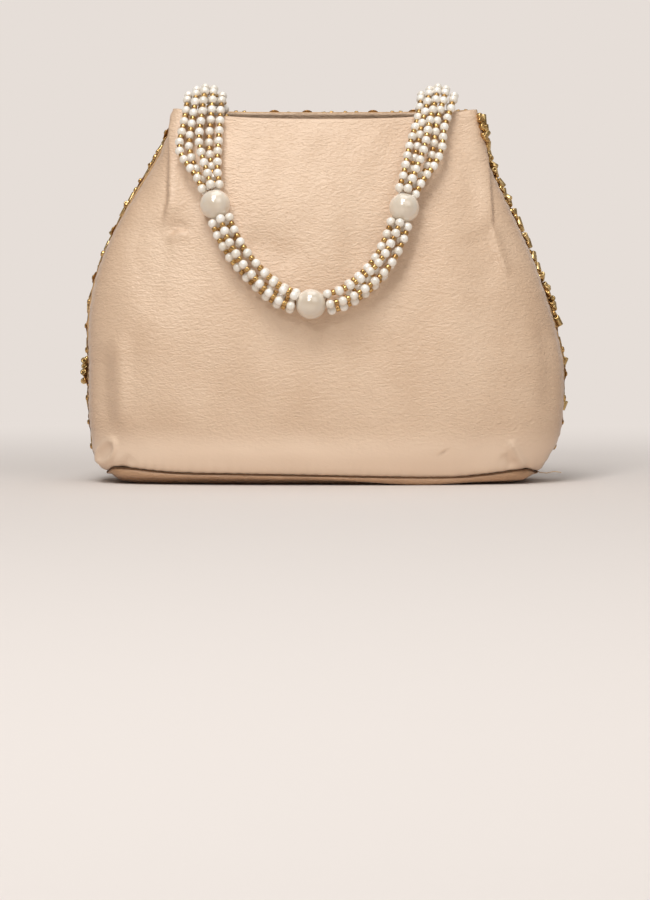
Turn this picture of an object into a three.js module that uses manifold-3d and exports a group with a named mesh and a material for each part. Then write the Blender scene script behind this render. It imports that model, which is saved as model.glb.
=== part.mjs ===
// Potli handbag: two satin panels on a boat-shaped base, lined, with a five-strand bead handle.
// Millimetres, +Z up. The plain back looks to -Y and the embroidered front to +Y; the origin is
// the middle of the base's underside.
import * as THREE from 'three';
import { mergeVertices } from 'three/addons/utils/BufferGeometryUtils.js';
import Module from 'manifold-3d';

const wasm = await Module();
wasm.setup();

// Body outline
const bellyWidth = 200;
const bellyDepth = 72;
const bellyHeight = 40;
const mouthWidth = 126;
const mouthDepth = 18;
const baseWidth = 179;
const baseDepth = 62;
const backRimHeight = 152;
const frontRimRise = 4;
const frontRimDip = 1;
const rimCornerRise = 3;
const rimPower = 3;
const leanWidth = 4;
const leanStart = 50;
const sectionPower = 3;
const turnUp = { power: 2.4, fullness: 0.5 };
const widthShoulder = { power: 2.6, fullness: 2.1 };
const depthShoulder = { power: 1.8, fullness: 1 };

// Layers
const satinThickness = 1.3;
const facingThickness = 0.8;
const facingDepth = 34;
const liningThickness = 0.7;
const liningSlack = 1.6;
const boardThickness = 1.5;
const seatGap = 0.3;
const facingGap = 0.45;

// Base
const baseSeamHeight = 4;
const baseSeamRise = 2;
const baseSeamPower = 6;
const baseRollWidth = 5;
const baseRoll = { lowInset: 1.25, lowShare: 0.2, highShare: 0.6 };

// Pleats from the mouth's corners
const pleatTopX = 60;
const pleatBottomX = 67;
const pleatLength = 48;
const pleatHeight = 2.2;
const pleatWidth = 3.6;
const pleatFade = { top: [-0.02, 0.2], bottom: [1.15, 0.8] };

// Beads
const pearlDiameter = 4;
const goldDiameter = 2.1;
const beadPitch = 5.2;
const largePearlDiameter = 12.4;
const threadHoleDiameter = 2;
const strandCount = 5;
const strandGap = 0.5;
const strandTwist = 0.8;
const beadRings = [Math.PI / 3.2, Math.PI - Math.PI / 3.2];
const beadFullness = 1.12;

// Handle, lying on the back: the crest over the mouth, then the large pearls, each at its drop
// below the back rim
const crestRise = 12.5;
const crestY = -1.8;
const crestReach = 4.6;
const crestDip = 1.2;
const rimLift = 2.2;
const swayLift = 3.4;
const rootPearls = 3;
const handleSides = {
  left: {
    crestX: -50.5,
    rootX: -46.5,
    swayX: -52,
    swayDrop: 12,
    pearlX: -45.3,
    pearlDrop: 37.4,
    bendX: -31,
    bendDrop: 63,
  },
  right: {
    crestX: 47.5,
    rootX: 45.5,
    swayX: 42.5,
    swayDrop: 15,
    pearlX: 31.9,
    pearlDrop: 38.7,
    bendX: 21,
    bendDrop: 64,
  },
};
const lowPearl = { x: -6.2, drop: 77.4 };

// How far along, from one named place of a bundle to the next, its route passes in between
const passing = {
  crest: 0.1,
  rim: 0.4,
  gather: 0.6,
  leave: { x: 0.4, drop: 0.55 },
  meet: { x: 0.55, drop: 0.82 },
};

// Where along an upper bundle, as shares, its ring of strands opens into the crest's row
const fanning = { spread: [1, 0.55], settle: [0.85, 0.2] };

// Handle tabs
const tabWidth = 24;
const tabHeight = 16;
const tabThickness = 3;

// Magnetic snap
const snapDiameter = 14;
const snapThickness = 2;
const snapDrop = 17;
const studDiameter = 5;
const studHeight = 2.2;
const studClearance = 0.4;

// Bead edging on the side seams, each side's from its drop below the front rim
const bugleLength = 5;
const bugleDiameter = 2.4;
const edging = { left: { count: 9, drop: 56 }, right: { count: 16, drop: 2 } };
const edgingBottom = 24;
const edgingTurn = 0.06;
const edgingSunk = 0.45;
const edgingSwing = 0.5;
const edgingLean = 0.25;

// Beadwork on the front panel: a lattice of diamonds, two columns wide and two rows high
const latticeHeight = 1.9;

// How finely the faces are divided
const facets = {
  bead: 5,
  largePearl: 14,
  largePearlRings: 9,
  snap: 16,
  bugle: 5,
  wallColumns: 28,
  backRows: 14,
  frontRows: 15,
  facingRows: 3,
  tabColumns: 6,
  tabRows: 3,
  routeSteps: 12,
};
const liningLevels = [0.04, 0.12, 0.28, 0.5, 0.75, 1];

// Derived sizes
const pearlRadius = pearlDiameter / 2;
const goldRadius = goldDiameter / 2;
const rowPitch = pearlDiameter + strandGap;
const ringRadius = rowPitch / 2 / Math.sin(Math.PI / strandCount);
const bundleLift = ringRadius + pearlRadius + strandGap;
const frontRimHeight = backRimHeight + frontRimRise;
const crestHeight = backRimHeight + crestRise;
const rootLength = rootPearls * beadPitch;
const layer = {
  facing: satinThickness + facingGap,
  inside: satinThickness + facingGap + facingThickness,
  lining: satinThickness + facingGap + facingThickness + seatGap,
};

const satin = new THREE.MeshStandardMaterial({ color: 0xd9b898, roughness: 0.5, metalness: 0.1 });
const embroidered = new THREE.MeshStandardMaterial({ color: 0xc39a63, roughness: 0.45, metalness: 0.3 });
const baseSatin = new THREE.MeshStandardMaterial({ color: 0xb18c68, roughness: 0.6, metalness: 0.05 });
const liningCloth = new THREE.MeshStandardMaterial({ color: 0xcdb08e, roughness: 0.8, metalness: 0 });
const board = new THREE.MeshStandardMaterial({ color: 0x9a8468, roughness: 0.9, metalness: 0 });
const pearl = new THREE.MeshStandardMaterial({ color: 0xf3ece0, roughness: 0.2, metalness: 0.1 });
const snapMetal = new THREE.MeshStandardMaterial({ color: 0xc9a25a, roughness: 0.3, metalness: 0.9 });

const clamp01 = (value) => THREE.MathUtils.clamp(value, 0, 1);
const mix = THREE.MathUtils.lerp;
const smooth = (from, to, value) => THREE.MathUtils.smoothstep((value - from) / (to - from), 0, 1);

// Half the width or depth at a height: a rounded turn up from the base to the belly, then a
// shoulder that draws in to the mouth.
function bodyHalf(z, base, belly, mouth, shoulder) {
  if (z < bellyHeight) {
    const rise = clamp01((z - baseSeamHeight) / (bellyHeight - baseSeamHeight));
    return (base + (belly - base) * (1 - (1 - rise) ** turnUp.power) ** turnUp.fullness) / 2;
  }
  const climb = clamp01((z - bellyHeight) / (frontRimHeight + rimCornerRise - bellyHeight));
  return (mouth + (belly - mouth) * (1 - climb ** shoulder.power) ** shoulder.fullness) / 2;
}

const halfWidthAt = (z) => bodyHalf(z, baseWidth, bellyWidth, mouthWidth, widthShoulder);
const halfDepthAt = (z) => bodyHalf(z, baseDepth, bellyDepth, mouthDepth, depthShoulder);

// The bag slumps a little to the left between the belly and the mouth.
function leanAt(z) {
  return -leanWidth * Math.sin(Math.PI * clamp01((z - leanStart) / (frontRimHeight - leanStart)));
}

const bulgeAt = (reach) => (1 - Math.min(1, Math.abs(reach)) ** sectionPower) ** (1 / sectionPower);

// A point of a layer that lies inset inside the body's outer face. The turn runs round the body
// from the right side seam over the front to the left one and back round the back.
function wallPoint(turn, z, inset, seam = 0) {
  const reach = Math.cos(turn);
  const side = Math.sin(turn) < 0 ? -1 : 1;
  const depth = (halfDepthAt(z) - inset) * bulgeAt(reach) + seam;
  return new THREE.Vector3((halfWidthAt(z) - inset) * reach + leanAt(z), side * depth, z);
}

const backTurn = (across) => Math.PI * (1 + across);
const frontTurn = (across) => Math.PI * (1 - across);

// How far a layer of the back stands from the middle plane at a place on it.
function backDepthAt(x, z, inset = 0) {
  const reach = (x - leanAt(z)) / (halfWidthAt(z) - inset);
  return (halfDepthAt(z) - inset) * bulgeAt(reach) + seatGap / 2;
}

// A place seen from the back, carried to a layer of the back wall and lifted off it square to it.
function onBack(x, z, lift, inset = 0) {
  const step = 1;
  const here = backDepthAt(x, z, inset);
  const slopeX = (backDepthAt(x + step, z, inset) - backDepthAt(x - step, z, inset)) / (2 * step);
  const slopeZ = (backDepthAt(x, z + step, inset) - backDepthAt(x, z - step, inset)) / (2 * step);
  const outward = new THREE.Vector3(-slopeX, -1, -slopeZ).normalize();
  return new THREE.Vector3(x, -here, z).addScaledVector(outward, lift);
}

const cornerShare = (turn, power) => Math.abs(Math.cos(turn)) ** power;
const baseSeamAt = (turn) => baseSeamHeight + baseSeamRise * cornerShare(turn, baseSeamPower);

function rimAt(turn) {
  const middle = Math.sin(turn) < 0 ? backRimHeight : frontRimHeight - frontRimDip;
  return mix(middle, frontRimHeight, cornerShare(turn, rimPower));
}

// The pleats that run down from the mouth's corners stand up as soft ridges.
function pleatAt(x, z) {
  const drop = (backRimHeight - z) / pleatLength;
  const along = smooth(...pleatFade.top, drop) * smooth(...pleatFade.bottom, drop);
  const line = mix(pleatTopX, pleatBottomX, clamp01(drop));
  const away = (Math.abs(x) - line) / pleatWidth;
  return pleatHeight * along * Math.exp(-away * away);
}

// Closed geometry from points and triangles, turned so that its faces look out.
function solidGeometry(points, index) {
  const at = points.map((point) => point.toArray()).flat();
  let volume = 0;
  for (let k = 0; k < index.length; k += 3) {
    const [a, b, c] = [points[index[k]], points[index[k + 1]], points[index[k + 2]]];
    volume += a.dot(b.clone().cross(c));
  }
  const geometry = new THREE.BufferGeometry();
  geometry.setAttribute('position', new THREE.Float32BufferAttribute(at, 3));
  geometry.setIndex(volume < 0 ? index.toReversed() : index);
  return geometry;
}

// A closed sheet between an outer and an inner face, each a function of two shares from 0 to 1.
// Diagonals join the corners whose column and row add up to an even number.
function closedSheet(columns, rows, outerAt, innerAt) {
  const points = [];
  const index = [];
  const at = (face, i, j) => (face * (rows + 1) + j) * (columns + 1) + i;
  const quad = (a, b, c, d) => index.push(a, b, c, a, c, d);
  for (const faceAt of [outerAt, innerAt]) {
    for (let j = 0; j <= rows; j++) {
      for (let i = 0; i <= columns; i++) points.push(faceAt(i / columns, j / rows));
    }
  }
  for (let j = 0; j < rows; j++) {
    for (let i = 0; i < columns; i++) {
      for (const face of [0, 1]) {
        const round = [at(face, i, j), at(face, i + 1, j), at(face, i + 1, j + 1), at(face, i, j + 1)];
        if ((i + j) % 2) round.push(round.shift());
        quad(...(face ? round.reverse() : round));
      }
    }
    quad(at(0, 0, j), at(0, 0, j + 1), at(1, 0, j + 1), at(1, 0, j));
    quad(at(1, columns, j), at(1, columns, j + 1), at(0, columns, j + 1), at(0, columns, j));
  }
  for (let i = 0; i < columns; i++) {
    quad(at(1, i, 0), at(1, i + 1, 0), at(0, i + 1, 0), at(0, i, 0));
    quad(at(0, i, rows), at(0, i + 1, rows), at(1, i + 1, rows), at(1, i, rows));
  }
  return solidGeometry(points, index);
}

// A closed body through rings of points, each closed at the first and last ring by a fan.
function ringLoft(rings) {
  const count = rings[0].length;
  const points = rings.flat();
  const index = [];
  for (let j = 0; j + 1 < rings.length; j++) {
    for (let i = 0; i < count; i++) {
      const next = (i + 1) % count;
      const [a, b] = [j * count + i, j * count + next];
      index.push(a, b, b + count, a, b + count, a + count);
    }
  }
  for (const [ring, first] of [[rings[0], 0], [rings.at(-1), (rings.length - 1) * count]]) {
    const middle = ring.reduce((sum, point) => sum.add(point), new THREE.Vector3()).divideScalar(count);
    points.push(middle);
    for (let i = 0; i < count; i++) {
      const next = (i + 1) % count;
      const edge = first === 0 ? [first + next, first + i] : [first + i, first + next];
      index.push(points.length - 1, ...edge);
    }
  }
  return solidGeometry(points, index);
}

function ringAround(count, insetFromSeam, heightAt) {
  return Array.from({ length: count }, (_, i) => {
    const turn = (i / count) * 2 * Math.PI;
    const point = wallPoint(turn, baseSeamHeight, insetFromSeam);
    return point.setZ(heightAt(turn));
  });
}

function wallRing(count, z, inset) {
  return Array.from({ length: count }, (_, i) => wallPoint((i / count) * 2 * Math.PI, z, inset));
}

// A satin panel from the base seam to the rim, between the side seams. Its relief takes a share
// across and a share up.
function panel(turnAt, rows, reliefAt) {
  const face = (inset, relief) => (across, up) => {
    const turn = turnAt(across);
    const z = mix(baseSeamAt(turn), rimAt(turn), up);
    const point = wallPoint(turn, z, inset, seatGap / 2);
    const rise = relief(point, across, up) * bulgeAt(Math.cos(turn));
    return point.setY(point.y + Math.sign(point.y) * rise);
  };
  return closedSheet(facets.wallColumns, rows, face(0, reliefAt.outer), face(satinThickness, reliefAt.inner));
}

// The pleats fold both faces of the cloth alike.
const pleats = {
  outer: (point) => pleatAt(point.x, point.z),
  inner: (point) => pleatAt(point.x, point.z),
};

// The beadwork stands on the outer face: its ridges join every second corner of the panel's
// cells, and leave the panel's edges bare.
const beadwork = {
  outer: (point, across, up) => {
    const column = Math.round(across * facets.wallColumns);
    const row = Math.round(up * facets.frontRows);
    const inside = up > 0 && up < 1 && across > 0 && across < 1;
    return inside && (column + row) % 2 === 0 ? latticeHeight : 0;
  },
  inner: () => 0,
};

// A satin facing that turns down inside the mouth, behind its panel.
function facing(turnAt) {
  const face = (inset) => (across, up) => {
    const turn = turnAt(across);
    const top = rimAt(turn) - seatGap;
    return wallPoint(turn, mix(top - facingDepth, top, up), inset, seatGap / 2);
  };
  return closedSheet(facets.wallColumns, facets.facingRows, face(layer.facing), face(layer.inside));
}

// The lining hangs inside the facings' lower edges, and lies slack on the board.
function liningBag() {
  const count = facets.wallColumns;
  const bottom = satinThickness + boardThickness + 2 * seatGap;
  const top = frontRimHeight - facingDepth;
  const levels = liningLevels.map((share) => mix(bottom, top, share));
  const slackAt = (z) => liningSlack * smooth(bellyHeight, bottom, z);
  const ringsAt = (inset) => levels.map((z) => wallRing(count, z, inset + slackAt(z)));
  const outer = layer.lining;
  const inner = outer + liningThickness;
  const foot = baseRollWidth + liningSlack;
  return ringLoft([
    ringAround(count, outer + foot, () => bottom),
    ...ringsAt(outer),
    ...ringsAt(inner).toReversed(),
    ringAround(count, inner + foot, () => bottom + liningThickness),
  ]);
}

// The base is a shallow satin tray: flat below, rolled up at its edge to the seam.
function basePanel() {
  const count = facets.wallColumns;
  const edgeAt = (turn) => baseSeamAt(turn) - seatGap;
  return ringLoft([
    ringAround(count, baseRollWidth, () => 0),
    ringAround(count, baseRoll.lowInset, (turn) => edgeAt(turn) * baseRoll.lowShare),
    ringAround(count, 0, (turn) => edgeAt(turn) * baseRoll.highShare),
    ringAround(count, 0, edgeAt),
    ringAround(count, satinThickness, edgeAt),
    ringAround(count, baseRollWidth, () => satinThickness),
  ]);
}

// The stiffening board lies in the tray, under the lining.
function baseBoard() {
  const count = facets.wallColumns;
  const inset = baseRollWidth + seatGap;
  const under = satinThickness + seatGap;
  return ringLoft([
    ringAround(count, inset, () => under),
    ringAround(count, inset, () => under + boardThickness),
  ]);
}

function toManifold(geometry) {
  const bare = geometry.clone();
  bare.deleteAttribute('normal');
  bare.deleteAttribute('uv');
  const merged = mergeVertices(bare, 1e-4);
  return new wasm.Manifold(new wasm.Mesh({
    numProp: 3,
    vertProperties: new Float32Array(merged.attributes.position.array),
    triVerts: new Uint32Array(merged.index.array),
  }));
}

function fromManifold(solid) {
  const mesh = solid.getMesh();
  const geometry = new THREE.BufferGeometry();
  geometry.setAttribute('position', new THREE.Float32BufferAttribute(mesh.vertProperties, 3));
  geometry.setIndex(Array.from(mesh.triVerts));
  return geometry;
}

// One bugle bead of the edging, half sunk in the front panel beside the seam.
function edgeBugle(side, z, k) {
  const sunk = bugleDiameter * edgingSunk;
  const turn = side > 0 ? edgingTurn : Math.PI - edgingTurn;
  const place = wallPoint(turn, z, sunk - bugleDiameter / 2, satinThickness);
  const above = wallPoint(turn, z + 1, sunk - bugleDiameter / 2, satinThickness);
  const along = above.sub(place).normalize();
  const swing = (k % 3 - 1) * edgingSwing;
  const lean = new THREE.Vector3(along.z * edgingLean, 1, 0).multiplyScalar(Math.sin(swing));
  const axis = along.multiplyScalar(Math.cos(swing)).add(lean).normalize();
  const radius = bugleDiameter / 2;
  const geometry = new THREE.CylinderGeometry(radius, radius, bugleLength, facets.bugle, 1);
  const turnTo = new THREE.Quaternion().setFromUnitVectors(new THREE.Vector3(0, 1, 0), axis);
  return geometry.applyQuaternion(turnTo).translate(...place.toArray());
}

// The front panel with its bead edging sewn along both side seams.
function embroideredPanel() {
  let solid = toManifold(panel(frontTurn, facets.frontRows, beadwork));
  for (const [name, side] of [['left', -1], ['right', 1]]) {
    const { count, drop } = edging[name];
    const top = frontRimHeight - drop;
    for (let k = 0; k < count; k++) {
      solid = solid.add(toManifold(edgeBugle(side, mix(edgingBottom, top, k / (count - 1)), k)));
    }
  }
  return fromManifold(solid);
}

// The outline of a straight string of beads, from the axis at one end to the axis at the other.
function beadOutline(pearls, pitch) {
  const outline = [new THREE.Vector2(0, -pearlRadius)];
  for (let k = 0; k < pearls; k++) {
    if (k > 0) outline.push(new THREE.Vector2(goldRadius, (k - 0.5) * pitch));
    for (const turn of beadRings) {
      outline.push(new THREE.Vector2(
        pearlRadius * Math.sin(turn) * beadFullness,
        k * pitch - pearlRadius * Math.cos(turn),
      ));
    }
  }
  outline.push(new THREE.Vector2(0, (pearls - 1) * pitch + pearlRadius));
  return outline;
}

// A string of beads along a curve: a turned string, bent ring by ring.
function beadString(curve, across) {
  const length = curve.getLength();
  const pearls = Math.max(2, Math.round(length / beadPitch) + 1);
  const geometry = new THREE.LatheGeometry(beadOutline(pearls, length / (pearls - 1)), facets.bead);
  const place = geometry.attributes.position;
  for (let i = 0; i < place.count; i++) {
    const along = place.getY(i);
    const share = clamp01(along / length);
    const tangent = curve.getTangentAt(share);
    const side = across.clone().addScaledVector(tangent, -across.dot(tangent)).normalize();
    const up = side.clone().cross(tangent);
    const point = curve.getPointAt(share)
      .addScaledVector(tangent, along - share * length)
      .addScaledVector(side, place.getX(i))
      .addScaledVector(up, place.getZ(i));
    place.setXYZ(i, point.x, point.y, point.z);
  }
  geometry.deleteAttribute('normal');
  geometry.deleteAttribute('uv');
  return mergeVertices(geometry, 1e-4);
}

// One strand beside a bundle's route. The offset gives its place across and above the route.
class Strand extends THREE.Curve {
  constructor(route, facingOut, offsetAt) {
    super();
    this.route = route;
    this.facingOut = facingOut;
    this.offsetAt = offsetAt;
  }

  getPoint(t, target = new THREE.Vector3()) {
    const point = this.route.getPointAt(clamp01(t));
    const tangent = this.route.getTangentAt(clamp01(t));
    const out = this.facingOut(tangent);
    const side = out.clone().cross(tangent);
    const [across, above] = this.offsetAt(t);
    return target.copy(point).addScaledVector(side, across).addScaledVector(out, above);
  }
}

const ringOffset = (k, twist) => {
  const turn = Math.PI / 2 + (k / strandCount) * 2 * Math.PI + twist;
  return [ringRadius * Math.cos(turn), ringRadius * Math.sin(turn)];
};

// The order in which the ring's strands lie in the row at the crest.
const rowPlace = [0, -2, -1, 1, 2];

const squareTo = (reference) => (tangent) => {
  return reference.clone().addScaledVector(tangent, -reference.dot(tangent)).normalize();
};

const overTheRim = (tangent) => tangent.clone().cross(new THREE.Vector3(1, 0, 0)).normalize();

const routeThrough = (points) => new THREE.CatmullRomCurve3(points, false, 'centripetal');

// The ring of pearls at each end of a bundle touches the large pearl there.
const ringReach = Math.sqrt((largePearlDiameter / 2 + pearlRadius + seatGap) ** 2 - ringRadius ** 2);

// The part of a route between its ends, shortened by the large pearls' room.
function trimmed(route, atStart, atEnd) {
  const length = route.getLength();
  const points = Array.from({ length: facets.routeSteps + 1 }, (_, i) => {
    return route.getPointAt(mix(atStart / length, 1 - atEnd / length, i / facets.routeSteps));
  });
  return routeThrough(points);
}

const rimDrop = (drop) => backRimHeight - drop;

const handlePearl = (x, drop) => onBack(x, rimDrop(drop), largePearlDiameter / 2 + seatGap);

// From the crest over the back rim and down the back to the side's large pearl.
function upperRoute(side) {
  const { crestX, swayX, swayDrop, pearlX, pearlDrop } = side;
  const crest = new THREE.Vector3(crestX, crestY, crestHeight);
  const overX = mix(crestX, swayX, passing.crest);
  const gatherDrop = mix(swayDrop, pearlDrop, passing.gather);
  return routeThrough([
    crest,
    new THREE.Vector3(overX, crestY - crestReach, crestHeight - crestDip),
    onBack(mix(crestX, swayX, passing.rim), backRimHeight - seatGap, pearlRadius + rimLift),
    onBack(swayX, rimDrop(swayDrop), pearlRadius + swayLift),
    onBack(mix(swayX, pearlX, passing.gather), rimDrop(gatherDrop), bundleLift),
    handlePearl(pearlX, pearlDrop),
  ]);
}

// From a side's large pearl round to the low one.
function lowerRoute(side) {
  const { pearlX, pearlDrop, bendX, bendDrop } = side;
  const { leave, meet } = passing;
  const leaveDrop = mix(pearlDrop, bendDrop, leave.drop);
  const meetDrop = mix(bendDrop, lowPearl.drop, meet.drop);
  return routeThrough([
    handlePearl(pearlX, pearlDrop),
    onBack(mix(pearlX, bendX, leave.x), rimDrop(leaveDrop), bundleLift),
    onBack(bendX, rimDrop(bendDrop), bundleLift),
    onBack(mix(bendX, lowPearl.x, meet.x), rimDrop(meetDrop), bundleLift),
    handlePearl(lowPearl.x, lowPearl.drop),
  ]);
}

// Square to the back where a side's lower bundle bends.
function outwardAtBend(side) {
  const z = rimDrop(side.bendDrop);
  return onBack(side.bendX, z, 1).sub(onBack(side.bendX, z, 0));
}

// The strands fan out from the ring at the large pearl to a row side by side at the crest.
function upperStrand(side, k) {
  const route = trimmed(upperRoute(side), 0, ringReach);
  return new Strand(route, overTheRim, (t) => {
    const [across, above] = ringOffset(k, 0);
    const spread = smooth(...fanning.spread, t);
    const settle = smooth(...fanning.settle, t);
    return [mix(across, rowPlace[k] * rowPitch, spread), mix(above, 0, settle)];
  });
}

function lowerStrand(side, k) {
  const route = trimmed(lowerRoute(side), ringReach, ringReach);
  return new Strand(route, squareTo(outwardAtBend(side)), (t) => ringOffset(k, t * strandTwist));
}

// The strand's root, from under its crest pearl down inside the mouth to the tab. The crest pearl
// itself swings with the handle.
function rootStrand(side, k) {
  const inMouth = (z) => onBack(
    mix(side.crestX, side.rootX, (crestHeight - z) / rootLength) + rowPlace[k] * rowPitch,
    z,
    -(pearlRadius + 2 * seatGap),
    layer.inside,
  );
  const crest = new THREE.Vector3(side.crestX + rowPlace[k] * rowPitch, crestY, crestHeight);
  const whole = routeThrough([
    crest,
    inMouth(crestHeight - rootLength / 2),
    inMouth(crestHeight - rootLength),
  ]);
  return trimmed(whole, beadPitch, 0);
}

// A turned large pearl, drilled along the handle's route.
function largePearl() {
  const radius = largePearlDiameter / 2;
  const hole = threadHoleDiameter / 2;
  const lip = Math.asin(hole / radius);
  const outline = Array.from({ length: facets.largePearlRings }, (_, i) => {
    const turn = mix(lip, Math.PI - lip, i / (facets.largePearlRings - 1));
    return new THREE.Vector2(radius * Math.sin(turn), -radius * Math.cos(turn));
  });
  outline.push(outline[0].clone());
  return new THREE.LatheGeometry(outline, facets.largePearl);
}

// The folded satin tab that holds a side's threads against the back facing.
function handleTab(side) {
  const top = crestHeight - rootLength - pearlRadius - seatGap;
  const face = (lift) => (across, up) => onBack(
    side.rootX + (across - 0.5) * tabWidth,
    top - tabHeight * (1 - up),
    -lift,
    layer.inside,
  );
  return closedSheet(facets.tabColumns, facets.tabRows, face(seatGap), face(seatGap + tabThickness));
}

// Half of the magnetic snap, turned about its own axis.
function snapHalf(outline) {
  return new THREE.LatheGeometry(outline.map(([r, y]) => new THREE.Vector2(r, y)), facets.snap);
}

const snapStud = () => snapHalf([
  [0, 0],
  [snapDiameter / 2, 0],
  [snapDiameter / 2, snapThickness],
  [studDiameter / 2, snapThickness],
  [studDiameter / 2, snapThickness + studHeight],
  [0, snapThickness + studHeight],
]);

const snapSocket = () => snapHalf([
  [0, 0],
  [snapDiameter / 2, 0],
  [snapDiameter / 2, snapThickness + studHeight],
  [studDiameter / 2 + studClearance, snapThickness + studHeight],
  [studDiameter / 2 + studClearance, snapThickness],
  [0, snapThickness],
]);

const bag = new THREE.Group();

function add(name, geometry, material) {
  const mesh = new THREE.Mesh(geometry, material);
  mesh.name = name;
  bag.add(mesh);
  return mesh;
}

function addLargePearl(name, place, along) {
  const mesh = add(name, largePearl(), pearl);
  mesh.position.copy(place);
  mesh.quaternion.setFromUnitVectors(new THREE.Vector3(0, 1, 0), along);
}

// Seats a snap half on a facing, its axis square to the cloth.
function addSnap(name, geometry, side) {
  const z = backRimHeight - snapDrop;
  const seat = onBack(leanAt(z), z, -seatGap, layer.inside);
  const outward = onBack(leanAt(z), z, 1, layer.inside).sub(onBack(leanAt(z), z, 0, layer.inside));
  const inward = outward.negate();
  seat.y *= -side;
  inward.y *= -side;
  const mesh = add(name, geometry, snapMetal);
  mesh.position.copy(seat);
  mesh.quaternion.setFromUnitVectors(new THREE.Vector3(0, 1, 0), inward);
}

add('back_panel', panel(backTurn, facets.backRows, pleats), satin);
add('front_panel', embroideredPanel(), embroidered);
add('base_panel', basePanel(), baseSatin);
add('base_board', baseBoard(), board);
add('lining', liningBag(), liningCloth);
add('back_facing', facing(backTurn), satin);
add('front_facing', facing(frontTurn), satin);
addSnap('snap_stud', snapStud(), -1);
addSnap('snap_socket', snapSocket(), 1);

const acrossRow = new THREE.Vector3(1, 0, 0);
for (const [name, side] of Object.entries(handleSides)) {
  add(`handle_tab_${name}`, handleTab(side), satin);
  for (let k = 0; k < strandCount; k++) {
    add(`root_strand_${name}_${k + 1}`, beadString(rootStrand(side, k), acrossRow), pearl);
    add(`upper_strand_${name}_${k + 1}`, beadString(upperStrand(side, k), acrossRow), pearl);
    add(`lower_strand_${name}_${k + 1}`, beadString(lowerStrand(side, k), outwardAtBend(side)), pearl);
  }
  const place = handlePearl(side.pearlX, side.pearlDrop);
  addLargePearl(`large_pearl_${name}`, place, lowerRoute(side).getTangentAt(0));
}
addLargePearl('large_pearl_low', handlePearl(lowPearl.x, lowPearl.drop), acrossRow);

export default bag;
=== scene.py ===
import math
import random

import bmesh
import bpy
import numpy as np
from mathutils import Matrix, Vector, noise


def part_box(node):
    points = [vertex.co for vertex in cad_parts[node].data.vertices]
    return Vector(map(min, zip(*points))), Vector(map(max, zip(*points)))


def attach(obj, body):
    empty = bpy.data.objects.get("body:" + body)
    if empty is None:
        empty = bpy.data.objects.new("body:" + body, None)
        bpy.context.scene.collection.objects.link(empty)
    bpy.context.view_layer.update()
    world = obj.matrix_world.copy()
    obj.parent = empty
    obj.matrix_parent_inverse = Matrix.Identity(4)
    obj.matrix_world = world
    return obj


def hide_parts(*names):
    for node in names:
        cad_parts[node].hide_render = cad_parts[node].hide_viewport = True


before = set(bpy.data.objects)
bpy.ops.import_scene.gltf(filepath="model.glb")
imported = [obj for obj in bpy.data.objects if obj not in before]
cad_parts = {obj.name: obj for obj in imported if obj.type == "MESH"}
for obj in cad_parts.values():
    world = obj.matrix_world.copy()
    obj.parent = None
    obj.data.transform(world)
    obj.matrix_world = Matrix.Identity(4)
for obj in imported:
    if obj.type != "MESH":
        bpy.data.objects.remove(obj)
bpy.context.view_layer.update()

random.seed(27)
mm = 0.001


# Shader maths: a wire is a socket that can be added, multiplied and so on
class Wire:
    def __init__(self, look, socket):
        self.look = look
        self.socket = socket

    def math(self, operation, first, second):
        return self.look.node("ShaderNodeMath", {"operation": operation}, {0: first, 1: second})

    def __add__(self, other):
        return self.math("ADD", self, other)

    __radd__ = __add__

    def __sub__(self, other):
        return self.math("SUBTRACT", self, other)

    def __rsub__(self, other):
        return self.math("SUBTRACT", other, self)

    def __mul__(self, other):
        return self.math("MULTIPLY", self, other)

    __rmul__ = __mul__

    def __abs__(self):
        return self.math("ABSOLUTE", self, 0.0)

    def above(self, other):
        return self.math("MAXIMUM", self, other)


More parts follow.
